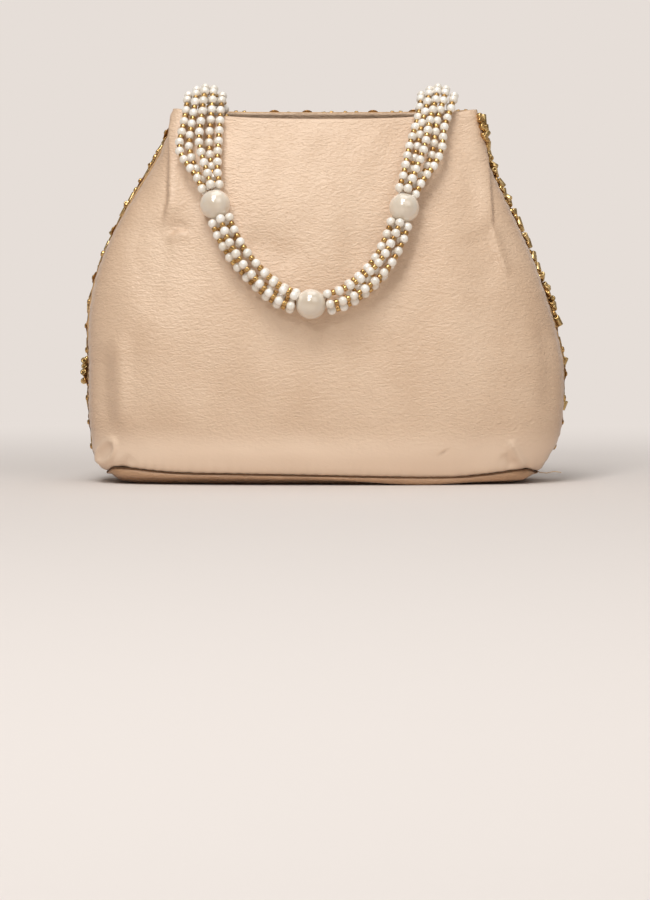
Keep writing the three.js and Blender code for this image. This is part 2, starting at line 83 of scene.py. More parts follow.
class Look:
    def __init__(self, name):
        self.material = bpy.data.materials.new(name)
        self.material.use_nodes = True
        self.tree = self.material.node_tree
        self.tree.nodes.clear()

    def node(self, kind, settings=None, inputs=None, output=0):
        made = self.tree.nodes.new(kind)
        for key, value in (settings or {}).items():
            if key == "stops":
                self.setStops(made.color_ramp, value)
            else:
                setattr(made, key, value)
        for key, value in (inputs or {}).items():
            self.feed(made.inputs[key], value)
        return Wire(self, made.outputs[output])

    def feed(self, socket, value):
        if isinstance(value, Wire):
            self.tree.links.new(value.socket, socket)
        else:
            socket.default_value = value

    def setStops(self, ramp, stops):
        while len(ramp.elements) < len(stops):
            ramp.elements.new(0.5)
        for element, (place, colour) in zip(ramp.elements, stops):
            element.position = place
            element.color = colour

    # Places on the piece, in millimetres
    def place(self, stretch=(1, 1, 1)):
        where = self.node("ShaderNodeTexCoord", output="Object")
        scale = [1000 * s for s in stretch]
        return self.node("ShaderNodeVectorMath", {"operation": "MULTIPLY"}, {0: where, 1: scale})

    def noise(self, where, scale, detail=2.0, roughness=0.5, distortion=0.0):
        inputs = {"Vector": where, "Scale": scale, "Detail": detail, "Roughness": roughness}
        inputs["Distortion"] = distortion
        return self.node("ShaderNodeTexNoise", None, inputs)

    def ramp(self, value, *stops):
        return self.node("ShaderNodeValToRGB", {"stops": stops}, {"Fac": value})

    def axes(self, where):
        return [self.node("ShaderNodeSeparateXYZ", None, {0: where}, output=k) for k in range(3)]

    def eased(self, value, start, end):
        limits = {0: value, 1: start, 2: end}
        return self.node("ShaderNodeMapRange", {"interpolation_type": "SMOOTHSTEP"}, limits)

    def mixColour(self, share, first, second):
        return self.node("ShaderNodeMix", {"data_type": "RGBA"}, {0: share, 6: first, 7: second}, output=2)

    def bump(self, height, distance, strength=1.0):
        inputs = {"Height": height, "Distance": distance, "Strength": strength}
        return self.node("ShaderNodeBump", None, inputs)

    def principled(self, **sockets):
        inputs = {key.replace("_", " "): value for key, value in sockets.items()}
        return self.node("ShaderNodeBsdfPrincipled", None, inputs)

    def output(self, shader):
        end = self.tree.nodes.new("ShaderNodeOutputMaterial")
        self.tree.links.new(shader.socket, end.inputs[0])
        return self.material

    def finish(self, **sockets):
        return self.output(self.principled(**sockets))


# A colour picked as a screen shows it, from 0 to 255
def screen(red, green, blue):
    def lift(value):
        value /= 255
        return value / 12.92 if value <= 0.04045 else ((value + 0.055) / 1.055) ** 2.4
    return (lift(red), lift(green), lift(blue), 1)


# Camera: the bag's middle and the floor it stands on are at these places in the photograph
photo = {"width": 650, "height": 900, "pixel": 0.42 * mm, "bagX": 326, "floorY": 486}
lens = {"away": 2.0, "up": 0.13, "sensor": 36, "floorDrop": 2.05 * mm}


def makeCamera():
    data = bpy.data.cameras.new("camera")
    data.sensor_width = lens["sensor"]
    data.lens = lens["away"] / photo["pixel"] * lens["sensor"] / photo["height"]
    camera = bpy.data.objects.new("camera", data)
    bpy.context.collection.objects.link(camera)
    aimX = (photo["width"] / 2 - photo["bagX"]) * photo["pixel"]
    aimZ = (photo["floorY"] - photo["height"] / 2) * photo["pixel"] - lens["floorDrop"]
    camera.location = (aimX, -lens["away"], lens["up"])
    towards = Vector((aimX, 0, aimZ)) - camera.location
    camera.rotation_euler = towards.to_track_quat("-Z", "Y").to_euler()
    bpy.context.scene.camera = camera


makeCamera()
bpy.context.scene.view_settings.view_transform = "Standard"
print("camera set")


# The bag's body, with the sizes that its solids have
body = {
    "belly": (200 * mm, 72 * mm),
    "mouth": (126 * mm, 18 * mm),
    "base": (179 * mm, 59 * mm),
    "shoulder": (2.6, 1.8),
    "fullness": (2.1, 1),
    "turnUp": ((2.4, 0.5), (2.2, 1.0)),
    "bellyHeight": 40 * mm,
    "backRim": 152 * mm,
    "frontRim": 156 * mm,
    "cornerRise": 3 * mm,
    "frontDip": 1 * mm,
    "lean": 4 * mm,
    "leanStart": 50 * mm,
    "footLean": 2 * mm,
    "power": 3,
    "seam": 4 * mm,
    "seamRise": 2.4 * mm,
    "seamCrest": 0.92,
    "seamSkew": 0.8 * mm,
    "satin": 1.3 * mm,
    "facingGap": 0.45 * mm,
    "facing": 0.8 * mm,
    "facingDepth": 34 * mm,
    "lining": 0.7 * mm,
    "gap": 0.3 * mm,
}
facingInset = body["satin"] + body["facingGap"]
insideInset = facingInset + body["facing"]


def clamp(value, low=0.0, high=1.0):
    return max(low, min(high, value))


def mix(first, second, share):
    return first + (second - first) * share


def smooth(start, end, value):
    share = clamp((value - start) / (end - start))
    return share * share * (3 - 2 * share)


def bell(value, width):
    return math.exp(-(value / width) ** 2)


def bodyHalf(z, axis):
    base, belly, mouth = body["base"][axis], body["belly"][axis], body["mouth"][axis]
    if z < body["bellyHeight"]:
        rise = clamp((z - body["seam"]) / (body["bellyHeight"] - body["seam"]))
        power, fullness = body["turnUp"][axis]
        return (base + (belly - base) * (1 - (1 - rise) ** power) ** fullness) / 2
    top = body["frontRim"] + body["cornerRise"]
    climb = clamp((z - body["bellyHeight"]) / (top - body["bellyHeight"]))
    drawn = (1 - climb ** body["shoulder"][axis]) ** body["fullness"][axis]
    return (mouth + (belly - mouth) * drawn) / 2


def leanAt(z):
    share = clamp((z - body["leanStart"]) / (body["frontRim"] - body["leanStart"]))
    return -body["lean"] * math.sin(math.pi * share) - body["footLean"] * bell(z - 8 * mm, 8 * mm)


def bulge(reach):
    return (1 - min(1, abs(reach)) ** body["power"]) ** (1 / body["power"])


# A place on the wall. The turn runs from the right side seam over the front to the left and back
def wallPoint(turn, z, inset=0.0, shift=0.0):
    reach = math.cos(turn)
    side = -1 if math.sin(turn) < 0 else 1
    depth = (bodyHalf(z, 1) - inset) * bulge(reach) + shift
    return Vector(((bodyHalf(z, 0) - inset) * reach + leanAt(z), side * depth, z))


def backTurn(across):
    return math.pi * (1 + across)


def frontTurn(across):
    return math.pi * (1 - across)


# The base seam climbs towards both ends, and lies a little lower on the right than on the left
def seamAt(turn):
    reach = math.cos(turn)
    skew = math.sin(2.3 * reach) * (1 - abs(reach) ** 8)
    past = abs(reach) - body["seamCrest"]
    climb = bell(past, 0.17 if past < 0 else 0.05)
    return body["seam"] + body["seamRise"] * climb - body["seamSkew"] * skew


def rimAt(turn):
    middle = body["backRim"] if math.sin(turn) < 0 else body["frontRim"] - body["frontDip"]
    return mix(middle, body["frontRim"], abs(math.cos(turn)) ** 3)


# Square to the wall, pointing out
def wallNormal(turn, z, step=0.4 * mm):
    alongTurn = wallPoint(turn + 0.01, z) - wallPoint(turn - 0.01, z)
    alongUp = wallPoint(turn, z + step) - wallPoint(turn, z - step)
    return alongTurn.cross(alongUp).normalized()


def meshObject(name, points, faces, material):
    mesh = bpy.data.meshes.new(name)
    mesh.from_pydata([tuple(p) for p in points], [], faces)
    mesh.update()
    made = bmesh.new()
    made.from_mesh(mesh)
    bmesh.ops.recalc_face_normals(made, faces=made.faces)
    made.to_mesh(mesh)
    made.free()
    for polygon in mesh.polygons:
        polygon.use_smooth = True
    mesh.materials.append(material)
    piece = bpy.data.objects.new(name, mesh)
    bpy.context.collection.objects.link(piece)
    return piece


# A closed sheet of cloth between two faces, each a function of a column and a row
def closedSheet(columns, rows, faceOut, faceIn):
    points, faces = [], []
    for face in (faceOut, faceIn):
        for j in range(rows + 1):
            points += [face(i, j) for i in range(columns + 1)]

    def at(layer, i, j):
        return (layer * (rows + 1) + j) * (columns + 1) + i

    for j in range(rows):
        for i in range(columns):
            faces.append((at(0, i, j), at(0, i + 1, j), at(0, i + 1, j + 1), at(0, i, j + 1)))
            faces.append((at(1, i, j), at(1, i, j + 1), at(1, i + 1, j + 1), at(1, i + 1, j)))
        faces.append((at(0, 0, j), at(0, 0, j + 1), at(1, 0, j + 1), at(1, 0, j)))
        faces.append((at(1, columns, j), at(1, columns, j + 1), at(0, columns, j + 1), at(0, columns, j)))
    for i in range(columns):
        faces.append((at(1, i, 0), at(1, i + 1, 0), at(0, i + 1, 0), at(0, i, 0)))
        faces.append((at(0, i, rows), at(0, i + 1, rows), at(1, i + 1, rows), at(1, i, rows)))
    return points, faces


# Copies of a small mesh, each placed by a matrix, joined into one piece
def scatter(name, template, placings, material):
    points, faces = template
    base = np.array([tuple(p) for p in points])
    allPoints, allFaces = [], []
    for k, placing in enumerate(placings):
        turned = np.array(placing)
        allPoints.append(base @ turned[:3, :3].T + turned[:3, 3])
        allFaces += [tuple(v + k * len(points) for v in face) for face in faces]
    mesh = bpy.data.meshes.new(name)
    mesh.from_pydata(np.concatenate(allPoints).tolist(), [], allFaces)
    mesh.update()
    mesh.polygons.foreach_set("use_smooth", [True] * len(mesh.polygons))
    mesh.materials.append(material)
    piece = bpy.data.objects.new(name, mesh)
    bpy.context.collection.objects.link(piece)
    return piece


# A turned shape about Z from (radius, height) pairs; closed on the axis or on itself
def turned(outline, sides):
    points, faces, rings = [], [], []
    for radius, height in outline:
        if radius < 1e-7:
            rings.append([len(points)] * sides)
            points.append((0, 0, height))
        else:
            rings.append(list(range(len(points), len(points) + sides)))
            for k in range(sides):
                angle = 2 * math.pi * k / sides
                points.append((radius * math.cos(angle), radius * math.sin(angle), height))
    for low, high in zip(rings, rings[1:]):
        for k in range(sides):
            n = (k + 1) % sides
            corners = dict.fromkeys((low[k], low[n], high[n], high[k]))
            if len(corners) > 2:
                faces.append(tuple(corners))
    if outline[0][0] > 1e-7:
        first, last = rings[0], rings[-1]
        faces += [(last[k], last[(k + 1) % sides], first[(k + 1) % sides], first[k]) for k in range(sides)]
    return points, faces


# Puts a piece made along Z at a place, along an axis, with a roll about it
def placing(place, axis, roll=0.0, scale=1.0):
    turn = Vector(axis).to_track_quat("Z", "Y").to_matrix().to_4x4()
    return Matrix.Translation(place) @ turn @ Matrix.Rotation(roll, 4, "Z") @ Matrix.Scale(scale, 4)


# How much a place lies in the small tick that is pressed into the back, where it is dented and painted darker
# as painted shade in the crease
def tickAt(look, across, depth, up):
    x, z = across - tick["x"], up - tick["z"]
    along = x * math.cos(tick["lean"]) + z * math.sin(tick["lean"])
    beside = z * math.cos(tick["lean"]) - x * math.sin(tick["lean"])
    withinWidth = (1 - abs(beside) * (1 / tick["half"])).above(0.0)
    withinLength = (1 - abs(along) * (1 / tick["reach"])).above(0.0)
    return withinWidth * withinLength * look.eased(depth, 0.0, tick["behind"])


# Crepe-back satin. Where it is pulled taut over the base the crinkle fades, and the colour there is painted
# paler: a painted band of light that stands in for the floor's bounce
def satinLook(name, light, shade, deep, sheen=0.2, tautBounceLight=True):
    look = Look(name)
    crepe = look.noise(look.place(satin["crepeSize"]), 1.0, 1.0, 0.5, 0.5)
    ripple = look.noise(look.place(satin["rippleSize"]), 1.0, 1.0, 0.5, 0.5)
    cloud = look.noise(look.place(), satin["cloudSize"], 3.0)
    # The tone is random mottling, with a little painted shade in the crinkle valleys
    tone = look.ramp(cloud * 0.8 + crepe * 0.2, (0.3, shade), (0.66, light))
    height = crepe * 0.75 + ripple * 0.25
    if tautBounceLight:
        across, depth, up = look.axes(look.place())
        loose = look.eased(up + cloud * satin["cloudDrift"], satin["tautTo"], satin["looseFrom"])
        pressedShade = tickAt(look, across, depth, up)
        # Painted light: the low band is mixed towards the paler taut colour, in place of light bounced up
        # from the floor
        bounceLitTone = look.mixColour(1 - loose, tone, satin["tautBounceLight"])
        # Painted shade: the tick is mixed towards a dark colour, as the shade in its crease
        tone = look.mixColour(pressedShade * tick["tone"], bounceLitTone, satin["pressedShade"])
        height = height * (loose * (1 - satin["tautCrepe"]) + satin["tautCrepe"]) - pressedShade * tick["deep"]
    # Painted shade: the colour darkens towards the edges that are seen edge-on
    grazing = look.node("ShaderNodeLayerWeight", None, {"Blend": 0.4}, output=1)
    colour = look.mixColour(grazing * satin["grazingShade"], tone, deep)
    return look.finish(
        Base_Color=colour,
        Roughness=0.54 - crepe * 0.12,
        Normal=look.bump(height, satin["depth"], satin["crepe"]),
        Metallic=satin["sheen"],
        Sheen_Weight=sheen,
        Sheen_Roughness=0.4,
        Specular_IOR_Level=0.7,
    )


satin = {
    "light": screen(229, 200, 171),
    "shade": screen(216, 184, 153),
    # Painted shade for the edge-on sides of the back, with its share below
    "deep": screen(170, 122, 82),
    "grazingShade": 0.5,
    # Painted light: the paler colour of the low band, standing in for the floor's bounce
    "tautBounceLight": screen(248, 222, 195),
    # Painted shade in the tick's crease
    "pressedShade": screen(168, 130, 98),
    "goldLight": screen(214, 176, 126),
    "goldShade": screen(186, 146, 98),
    # The base satin is a darker copy of the back satin: painted shade for the strip that faces down
    "baseLight": screen(190, 150, 114),
    "baseShade": screen(166, 126, 92),
    "goldGrazingShade": screen(140, 100, 60),
    "baseGrazingShade": screen(120, 84, 56),
    "crepe": 0.95,
    "depth": 0.52 * mm,
    "sheen": 0.05,
    "crepeSize": (0.6, 0.6, 1.2),
    "rippleSize": (0.2, 0.2, 0.7),
    "cloudSize": 0.03,
    "cloudDrift": 10,
    "tautCrepe": 0.15,
    "tautTo": 18,
    "looseFrom": 31,
}
# The small tick: a dent, with a share (tone) of painted shade in its crease
tick = {
    "x": 48.5,
    "z": 13.8,
    "lean": 0.55,
    "half": 1.2,
    "reach": 3.8,
    "behind": -5.0,
    "tone": 0.35,
    "deep": 0.7,
}


def liningLook():
    look = Look("liningCloth")
    place = look.place()
    warp = look.noise(look.place((3.5, 3.5, 0.6)), 1.0, 1.0)
    weft = look.noise(look.place((0.6, 0.6, 3.5)), 1.0)
    threads = warp * 0.5 + weft * 0.5
    cloud = look.noise(place, 0.06, 2.0)
    tone = look.ramp(cloud, (0.3, screen(188, 160, 128)), (0.7, screen(207, 180, 149)))
    weave = look.bump(threads, 0.3 * mm, 0.5)
    return look.finish(Base_Color=tone, Roughness=0.82 + cloud * 0.1, Normal=weave)


def boardLook():
    look = Look("bagBoard")
    pulp = look.noise(look.place(), 0.9, 5.0, 0.7)
    tone = look.ramp(pulp, (0.3, screen(140, 119, 93)), (0.7, screen(170, 148, 119)))
    return look.finish(Base_Color=tone, Roughness=0.9 - pulp * 0.1, Normal=look.bump(pulp, 0.2 * mm, 0.4))


# Lacquered beads: a cream skin that varies bead by bead, painted lighter towards the rim as painted rim light
# and reflection
def pearlLook(name, shade, light):
    look = Look(name)
    each = look.noise(look.place(), 0.17, 0.0)
    swirl = look.noise(look.place(), 0.55, 2.0)
    facing = look.node("ShaderNodeLayerWeight", None, {"Blend": 0.5}, output=1)
    body = look.ramp(each, (0.35, shade), (0.65, light))
    rim = look.ramp(swirl, (0.35, screen(255, 244, 226)), (0.65, screen(252, 248, 240)))
    return look.finish(
        # Painted light: the rim is mixed towards near white
        Base_Color=look.mixColour(facing * 0.9, body, rim),
        Roughness=0.22 + swirl * 0.06,
        Normal=look.bump(swirl, 0.04 * mm, 0.15),
        Coat_Weight=1.0,
        Coat_Roughness=0.05,
        Coat_IOR=1.7,
        Specular_IOR_Level=1.0,
    )


def metalLook(name, light, shade, roughness, spread=0.12):
    look = Look(name)
    each = look.noise(look.place(), 0.4, 2.0)
    scuff = look.noise(look.place(), 3.0, 3.0)
    tone = look.ramp(each, (0.3, shade), (0.7, light))
    return look.finish(
        Base_Color=tone,
        Metallic=0.92 - scuff * 0.1,
        Roughness=roughness + scuff * spread,
        Normal=look.bump(scuff, 0.05 * mm, 0.25),
    )


def threadLook(name, light, shade):
    look = Look(name)
    ply = look.noise(look.place((1, 1, 4)), 1.4, 2.0)
    tone = look.ramp(ply, (0.3, shade), (0.7, light))
    return look.finish(Base_Color=tone, Roughness=0.75 + ply * 0.15, Normal=look.bump(ply, 0.1 * mm, 0.5))


looks = {
    "back": satinLook("crepeSatin", satin["light"], satin["shade"], satin["deep"]),
    "front": satinLook("goldSatin", satin["goldLight"], satin["goldShade"], satin["goldGrazingShade"], 0.2, False),
    # The base's darker colours are painted shade
    "base": satinLook("baseSatinPaintedShade", satin["baseLight"], satin["baseShade"], satin["baseGrazingShade"], 0.15, False),
    "lining": liningLook(),
    "board": boardLook(),
    "pearl": pearlLook("pearlLacquer", screen(236, 226, 210), screen(250, 244, 234)),
    # The large pearls take a darker cream, which also stands in for painted dark reflections in their middles
    "large": pearlLook("largePearlLacquer", screen(212, 194, 170), screen(224, 208, 186)),
    "gold": metalLook("goldBead", screen(224, 186, 122), screen(168, 126, 72), 0.12),
    "bugle": metalLook("bugleGlass", screen(224, 194, 138), screen(166, 134, 82), 0.2),
    "sequin": metalLook("antiqueSequin", screen(196, 146, 82), screen(132, 92, 50), 0.24),
    "snap": metalLook("snapPlate", screen(226, 196, 128), screen(206, 172, 104), 0.18),
    "thread": threadLook("sewingThread", screen(205, 170, 130), screen(166, 129, 92)),
    "seam": threadLook("seamThread", screen(126, 92, 62), screen(92, 64, 42)),
    "loose": threadLook("looseEnd", screen(222, 196, 164), screen(196, 164, 128)),
}
print("finishes made")


# Folds in the plain back: each runs along a line of (x, z), in millimetres, with a height and a
# width. A fold with a drop falls off sharply towards that side, within dropWidth
dropWidth = 0.9
backFolds = [
    {"line": [(-62.6, 153), (-64, 143), (-64.6, 118), (-67.2, 107)], "height": 3.2, "width": 7, "drop": -1},
    {
        "line": [(62.4, 153), (64.2, 143), (66, 133.6), (68, 112), (69, 103)],
        "height": 2.2,
        "width": 5,
        "drop": 1,
    },
    {"line": [(-66, 104), (-61.5, 108), (-56.5, 106)], "height": -1.1, "width": 1.8},
    {"line": [(-65.5, 101), (-61, 104.5), (-56, 102.5)], "height": 1.0, "width": 2.0},
    {"line": [(69, 104), (71, 97), (73, 91.5), (76, 85)], "height": 1.3, "width": 2.8, "drop": -1},
    {"line": [(60, 106), (64, 94), (70, 80)], "height": -0.9, "width": 6},
    {"line": [(-70, 142), (-74, 130), (-80, 114)], "height": -1.1, "width": 5},
    {"line": [(73, 13), (76, 9.5), (78, 7)], "height": -1.1, "width": 1.5},
    {"line": [(76.5, 16), (80, 10), (82.5, 6)], "height": 1.5, "width": 2.2, "drop": -1},
    {"line": [(-80, 12), (-84, 8), (-88, 5.5)], "height": -0.7, "width": 2.0},
    {"line": [(-86, 66), (-84, 42), (-84, 20)], "height": 1.4, "width": 3.5},
    {"line": [(-93, 60), (-92, 36), (-91, 20)], "height": -1.1, "width": 3.5},
    {"line": [(-34, 103), (-22, 97), (-8, 93)], "height": -1.0, "width": 6},
    {"line": [(90, 70), (93, 50), (92, 26)], "height": -1.0, "width": 4},
    {"line": [(-74, 112), (-70, 90), (-72, 66)], "height": -1.1, "width": 9},
    {"line": [(4, 96), (22, 99), (50, 94)], "height": -1.1, "width": 12},
    {"line": [(-40, 58), (0, 55), (45, 60)], "height": -0.9, "width": 11},
    {"line": [(-70, 16), (0, 14), (70, 16)], "height": 0.9, "width": 8},
]
backDimple = {
    "x": -91.6,
    "z": 13.7,
    "wide": 5.4,
    "high": 3.0,
    "deep": 0.5,
    "bowl": 0.6,
    "rim": 1.3,
    "rimWidth": 0.24,
    "lean": 0.95,
}

sag = {
    "sway": 1.1 * mm,
    "swaySize": 0.045,
    "swell": 0.55 * mm,
    "swellSize": 0.017,
    "gather": 0.12 * mm,
    "gatherPitch": 13 * mm,
    "gatherFall": 42 * mm,
    "seamDip": 0.55 * mm,
    "seamWidth": 1.5 * mm,
    "pucker": 0.15 * mm,
    "puckerPitch": 4.4 * mm,
    "puckerReach": 5 * mm,
    "heldLow": 14 * mm,
    "heldHigh": 10 * mm,
}


# How near a place is to a line of points, with its side of it, and how far along it lies
def nearLine(x, z, line):
    best, share = 1e9, 0
    for k, ((ax, az), (bx, bz)) in enumerate(zip(line, line[1:])):
        alongX, alongZ = bx - ax, bz - az
        t = clamp(((x - ax) * alongX + (z - az) * alongZ) / (alongX ** 2 + alongZ ** 2))
        away = math.hypot(x - ax - alongX * t, z - az - alongZ * t)
        if away < abs(best):
            side = 1 if (x - ax) * alongZ - (z - az) * alongX < 0 else -1
            best, share = away * side, (k + t) / (len(line) - 1)
    return best, share


def foldAt(x, z, fold):
    away, share = nearLine(x / mm, z / mm, fold["line"])
    if abs(away) > 3 * fold["width"]:
        return 0
    drop = fold.get("drop", 0)
    ends = 1 - smooth(0.7, 1.02, share)
    if drop and away * drop > 0:
        return fold["height"] * mm * bell(away, dropWidth) * ends
    if not drop:
        ends *= smooth(-0.02, 0.25, share)
    return fold["height"] * mm * bell(away, fold["width"]) * ends


# A pressed-in oval with a raised rim, leaning
def dimpleAt(x, z, dimple):
    right, up = x / mm - dimple["x"], z / mm - dimple["z"]
    along = right * math.cos(dimple["lean"]) + up * math.sin(dimple["lean"])
    beside = up * math.cos(dimple["lean"]) - right * math.sin(dimple["lean"])
    away = math.hypot(along / dimple["wide"], beside / dimple["high"])
    rim = dimple["rim"] * bell(away - 1, dimple["rimWidth"])
    return mm * (rim - dimple["deep"] * bell(away, dimple["bowl"]))


# Soft unevenness of hanging cloth: slow sways, smaller swells and gathers that die out below the rim
def slackAt(point, seed):
    x, z = point.x, point.z
    sway = noise.noise(Vector((x, z * 0.8, seed)) / sag["swaySize"]) * sag["sway"]
    swell = noise.noise(Vector((x * 1.25, z * 0.7, seed + 3)) / sag["swellSize"]) * sag["swell"]
    fall = bell(body["frontRim"] - z, sag["gatherFall"])
    wander = noise.noise(Vector((x * 0.4, z, seed + 7)) / sag["swaySize"])
    gather = math.sin(2 * math.pi * (x / sag["gatherPitch"] + wander)) * sag["gather"] * fall
    return sway + swell + gather


# Near a seam the cloth dips in and puckers at each stitch
def seamPull(point, turn, low, seed):
    side = abs(bodyHalf(point.z, 0) * math.cos(turn)) - bodyHalf(point.z, 0)
    up = point.z - low
    nearest = min(abs(side), max(0, up))
    along = point.z if abs(side) < up else point.x
    wander = noise.noise(Vector((along / 0.013, seed, 0)))
    stitch = math.sin(2 * math.pi * (along / sag["puckerPitch"] + wander))
    dip = sag["seamDip"] * bell(nearest, sag["seamWidth"])
    return stitch * sag["pucker"] * bell(nearest, sag["puckerReach"]) - dip


def panelRelief(point, turn, folds, dimple, seed):
    low = seamAt(turn)
    slack = slackAt(point, seed)
    held = smooth(0, sag["heldLow"], point.z - low) * smooth(0, sag["heldHigh"], rimAt(turn) - point.z)
    relief = slack * held + seamPull(point, turn, low, seed)
    for fold in folds:
        relief += foldAt(point.x, point.z, fold)
    if dimple:
        relief += dimpleAt(point.x, point.z, dimple)
    return relief


def easedShares(count):
    return [(1 - math.cos(math.pi * k / count)) / 2 for k in range(count + 1)]


# Even shares with a fine finish at the rim, where the cloth folds over
def rimShares(count, height, fold):
    last = 1 - fold / height
    shares = [last * k / count for k in range(count + 1)]
    return shares + [mix(last, 1, math.sin(math.pi / 2 * k / 6)) for k in range(1, 7)]


panelMesh = {"columns": 230, "rows": 128}


# One satin wall. Both faces take the same relief, so the cloth keeps its thickness
def wallSheet(name, wall, material):
    fold = body["satin"] / 2
    columns = easedShares(panelMesh["columns"])
    rows = rimShares(panelMesh["rows"], body["backRim"], fold)
    reliefs = {}

    def heightOf(turn, j):
        return mix(seamAt(turn) + body["gap"], rimAt(turn), rows[j])

    def reliefAt(i, j, turn, z):
        if (i, j) not in reliefs:
            reliefs[i, j] = wallNormal(safeTurn(turn), z) * reliefOn(wall, turn, z)
        return reliefs[i, j]

    def face(outside):
        def at(i, j):
            turn = wall["turnAt"](columns[i])
            z = heightOf(turn, j)
            over = clamp((z - (rimAt(turn) - fold)) / fold, 0, 0.98)
            rounded = fold * (1 - math.sqrt(1 - over * over))
            inset = rounded if outside else body["satin"] - rounded
            point = wallPoint(turn, z, inset, body["gap"] / 2) + reliefAt(i, j, turn, z)
            return keepSide(wall, point)
        return at

    points, faces = closedSheet(len(columns) - 1, len(rows) - 1, face(True), face(False))
    return meshObject(name, points, faces, material)


# The laid-out size of a panel: its width round the belly, its height up the middle and its area
def cutOf(turnAt, low, high, inset=0.0, steps=60):
    widths, rise = [], 0
    last = None
    for j in range(steps + 1):
        z = mix(low, high, j / steps)
        row = [wallPoint(turnAt(i / steps), z, inset) for i in range(steps + 1)]
        widths.append(sum((b - a).length for a, b in zip(row, row[1:])))
        middle = row[steps // 2]
        if last is not None:
            rise += (middle - last).length
        last = middle
    mean = sum(widths) / len(widths)
    return max(widths), rise, mean * rise


def declareCut(piece, turnAt, low, high, inset=0.0):
    width, rise, area = cutOf(turnAt, low, high, inset)


def addPiece(piece, bodyName, slot, *nodes):
    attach(piece, bodyName)
    if nodes:
        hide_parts(*nodes)
    return piece


# What each side of the bag is dented and folded by
walls = {
    "back": {"turnAt": backTurn, "folds": backFolds, "dimple": backDimple, "seed": 4.3},
    "front": {"turnAt": frontTurn, "folds": [], "dimple": None, "seed": 11.8},
}
dentLimit = -1.15 * mm


def reliefOn(wall, turn, z):
    relief = panelRelief(wallPoint(turn, z), turn, wall["folds"], wall["dimple"], wall["seed"])
    return max(relief, dentLimit)


# A turn that keeps a little off the seams, where the wall's slope is steepest
def safeTurn(turn):
    low = 0 if turn < math.pi else math.pi
    return clamp(turn, low + 0.02, low + math.pi - 0.02)


# The two panels meet at the side seams and don't cross there
def keepSide(wall, point):
    side = -1 if wall["turnAt"] is backTurn else 1
    point.y = side * max(side * point.y, body["gap"] / 2)
    return point


# A place on the cloth of a wall, lifted square to it
def onCloth(wall, turn, z, lift=0.0, inset=0.0):
    normal = wallNormal(safeTurn(turn), z)
    return wallPoint(turn, z, inset, body["gap"] / 2) + normal * (reliefOn(wall, turn, z) + lift)


backCloth = wallSheet("backPanelCloth", walls["back"], looks["back"])
addPiece(backCloth, "bag", "back_satin", "back_panel")
declareCut(backCloth, backTurn, body["seam"], body["backRim"])
frontCloth = wallSheet("frontPanelCloth", walls["front"], looks["front"])
addPiece(frontCloth, "bag", "embroidered_satin", "front_panel")
declareCut(frontCloth, frontTurn, body["seam"], body["frontRim"])
print("panels made")


# Rings of points joined into one closed body, with a fan at each end
def ringLoft(name, rings, material):
    count = len(rings[0])
    points = [p for ring in rings for p in ring]
    faces = []
    for j in range(len(rings) - 1):
        for i in range(count):
            a, b = j * count + i, j * count + (i + 1) % count
            faces.append((a, b, b + count, a + count))
    for first, ring in ((0, rings[0]), (count * (len(rings) - 1), rings[-1])):
        points.append(sum(ring, Vector()) / count)
        faces += [(len(points) - 1, first + i, first + (i + 1) % count) for i in range(count)]
    return meshObject(name, points, faces, material)


def ringAt(inset, heightAt, count):
    turns = [2 * math.pi * i / count for i in range(count)]
    ring = []
    for turn in turns:
        point = wallPoint(turn, seamAt(turn), inset)
        ring.append(Vector((point.x, point.y, heightAt(turn))))
    return ring


def shrunk(ring, share):
    middle = sum(ring, Vector()) / len(ring)
    return [middle + (p - middle) * share for p in ring]


# The base panel's outside from the floor up: how far in a ring lies, in millimetres, how much of the
# lower edge's height it has, and how much of what is left up to the seam
underside = ((14, 0, 0), (8.5, 0.1, 0), (6.2, 0.35, 0), (5.2, 0.85, 0), (2.6, 0.95, 0), (1.1, 0.98, 0))
strip = ((0.35, 1, 0.15), (0.08, 1, 0.4), (0, 1, 0.7), (0.35, 1, 1))
base = {
    "rings": 9,
    "count": 232,
    "pucker": 0.2 * mm,
    "puckers": 90,
    "foot": 5 * mm,
    "welt": 0.3 * mm,
    "weltInset": 0.35 * mm,
    "edge": 2.3 * mm,
    "edgeTilt": 0.6 * mm,
    "edgeDip": 1.8 * mm,
    "areaShare": 0.89,
}


# The strip's lower edge: it lifts off the floor at the left, lies on it right of the middle and
# meets the seam at both ends
def edgeAt(turn):
    reach = math.cos(turn)
    lift = base["edge"] - base["edgeTilt"] * reach - base["edgeDip"] * bell(reach - 0.45, 0.28)
    return mix(lift, seamAt(turn) - 2 * body["gap"], smooth(0.9, 1, abs(reach)))


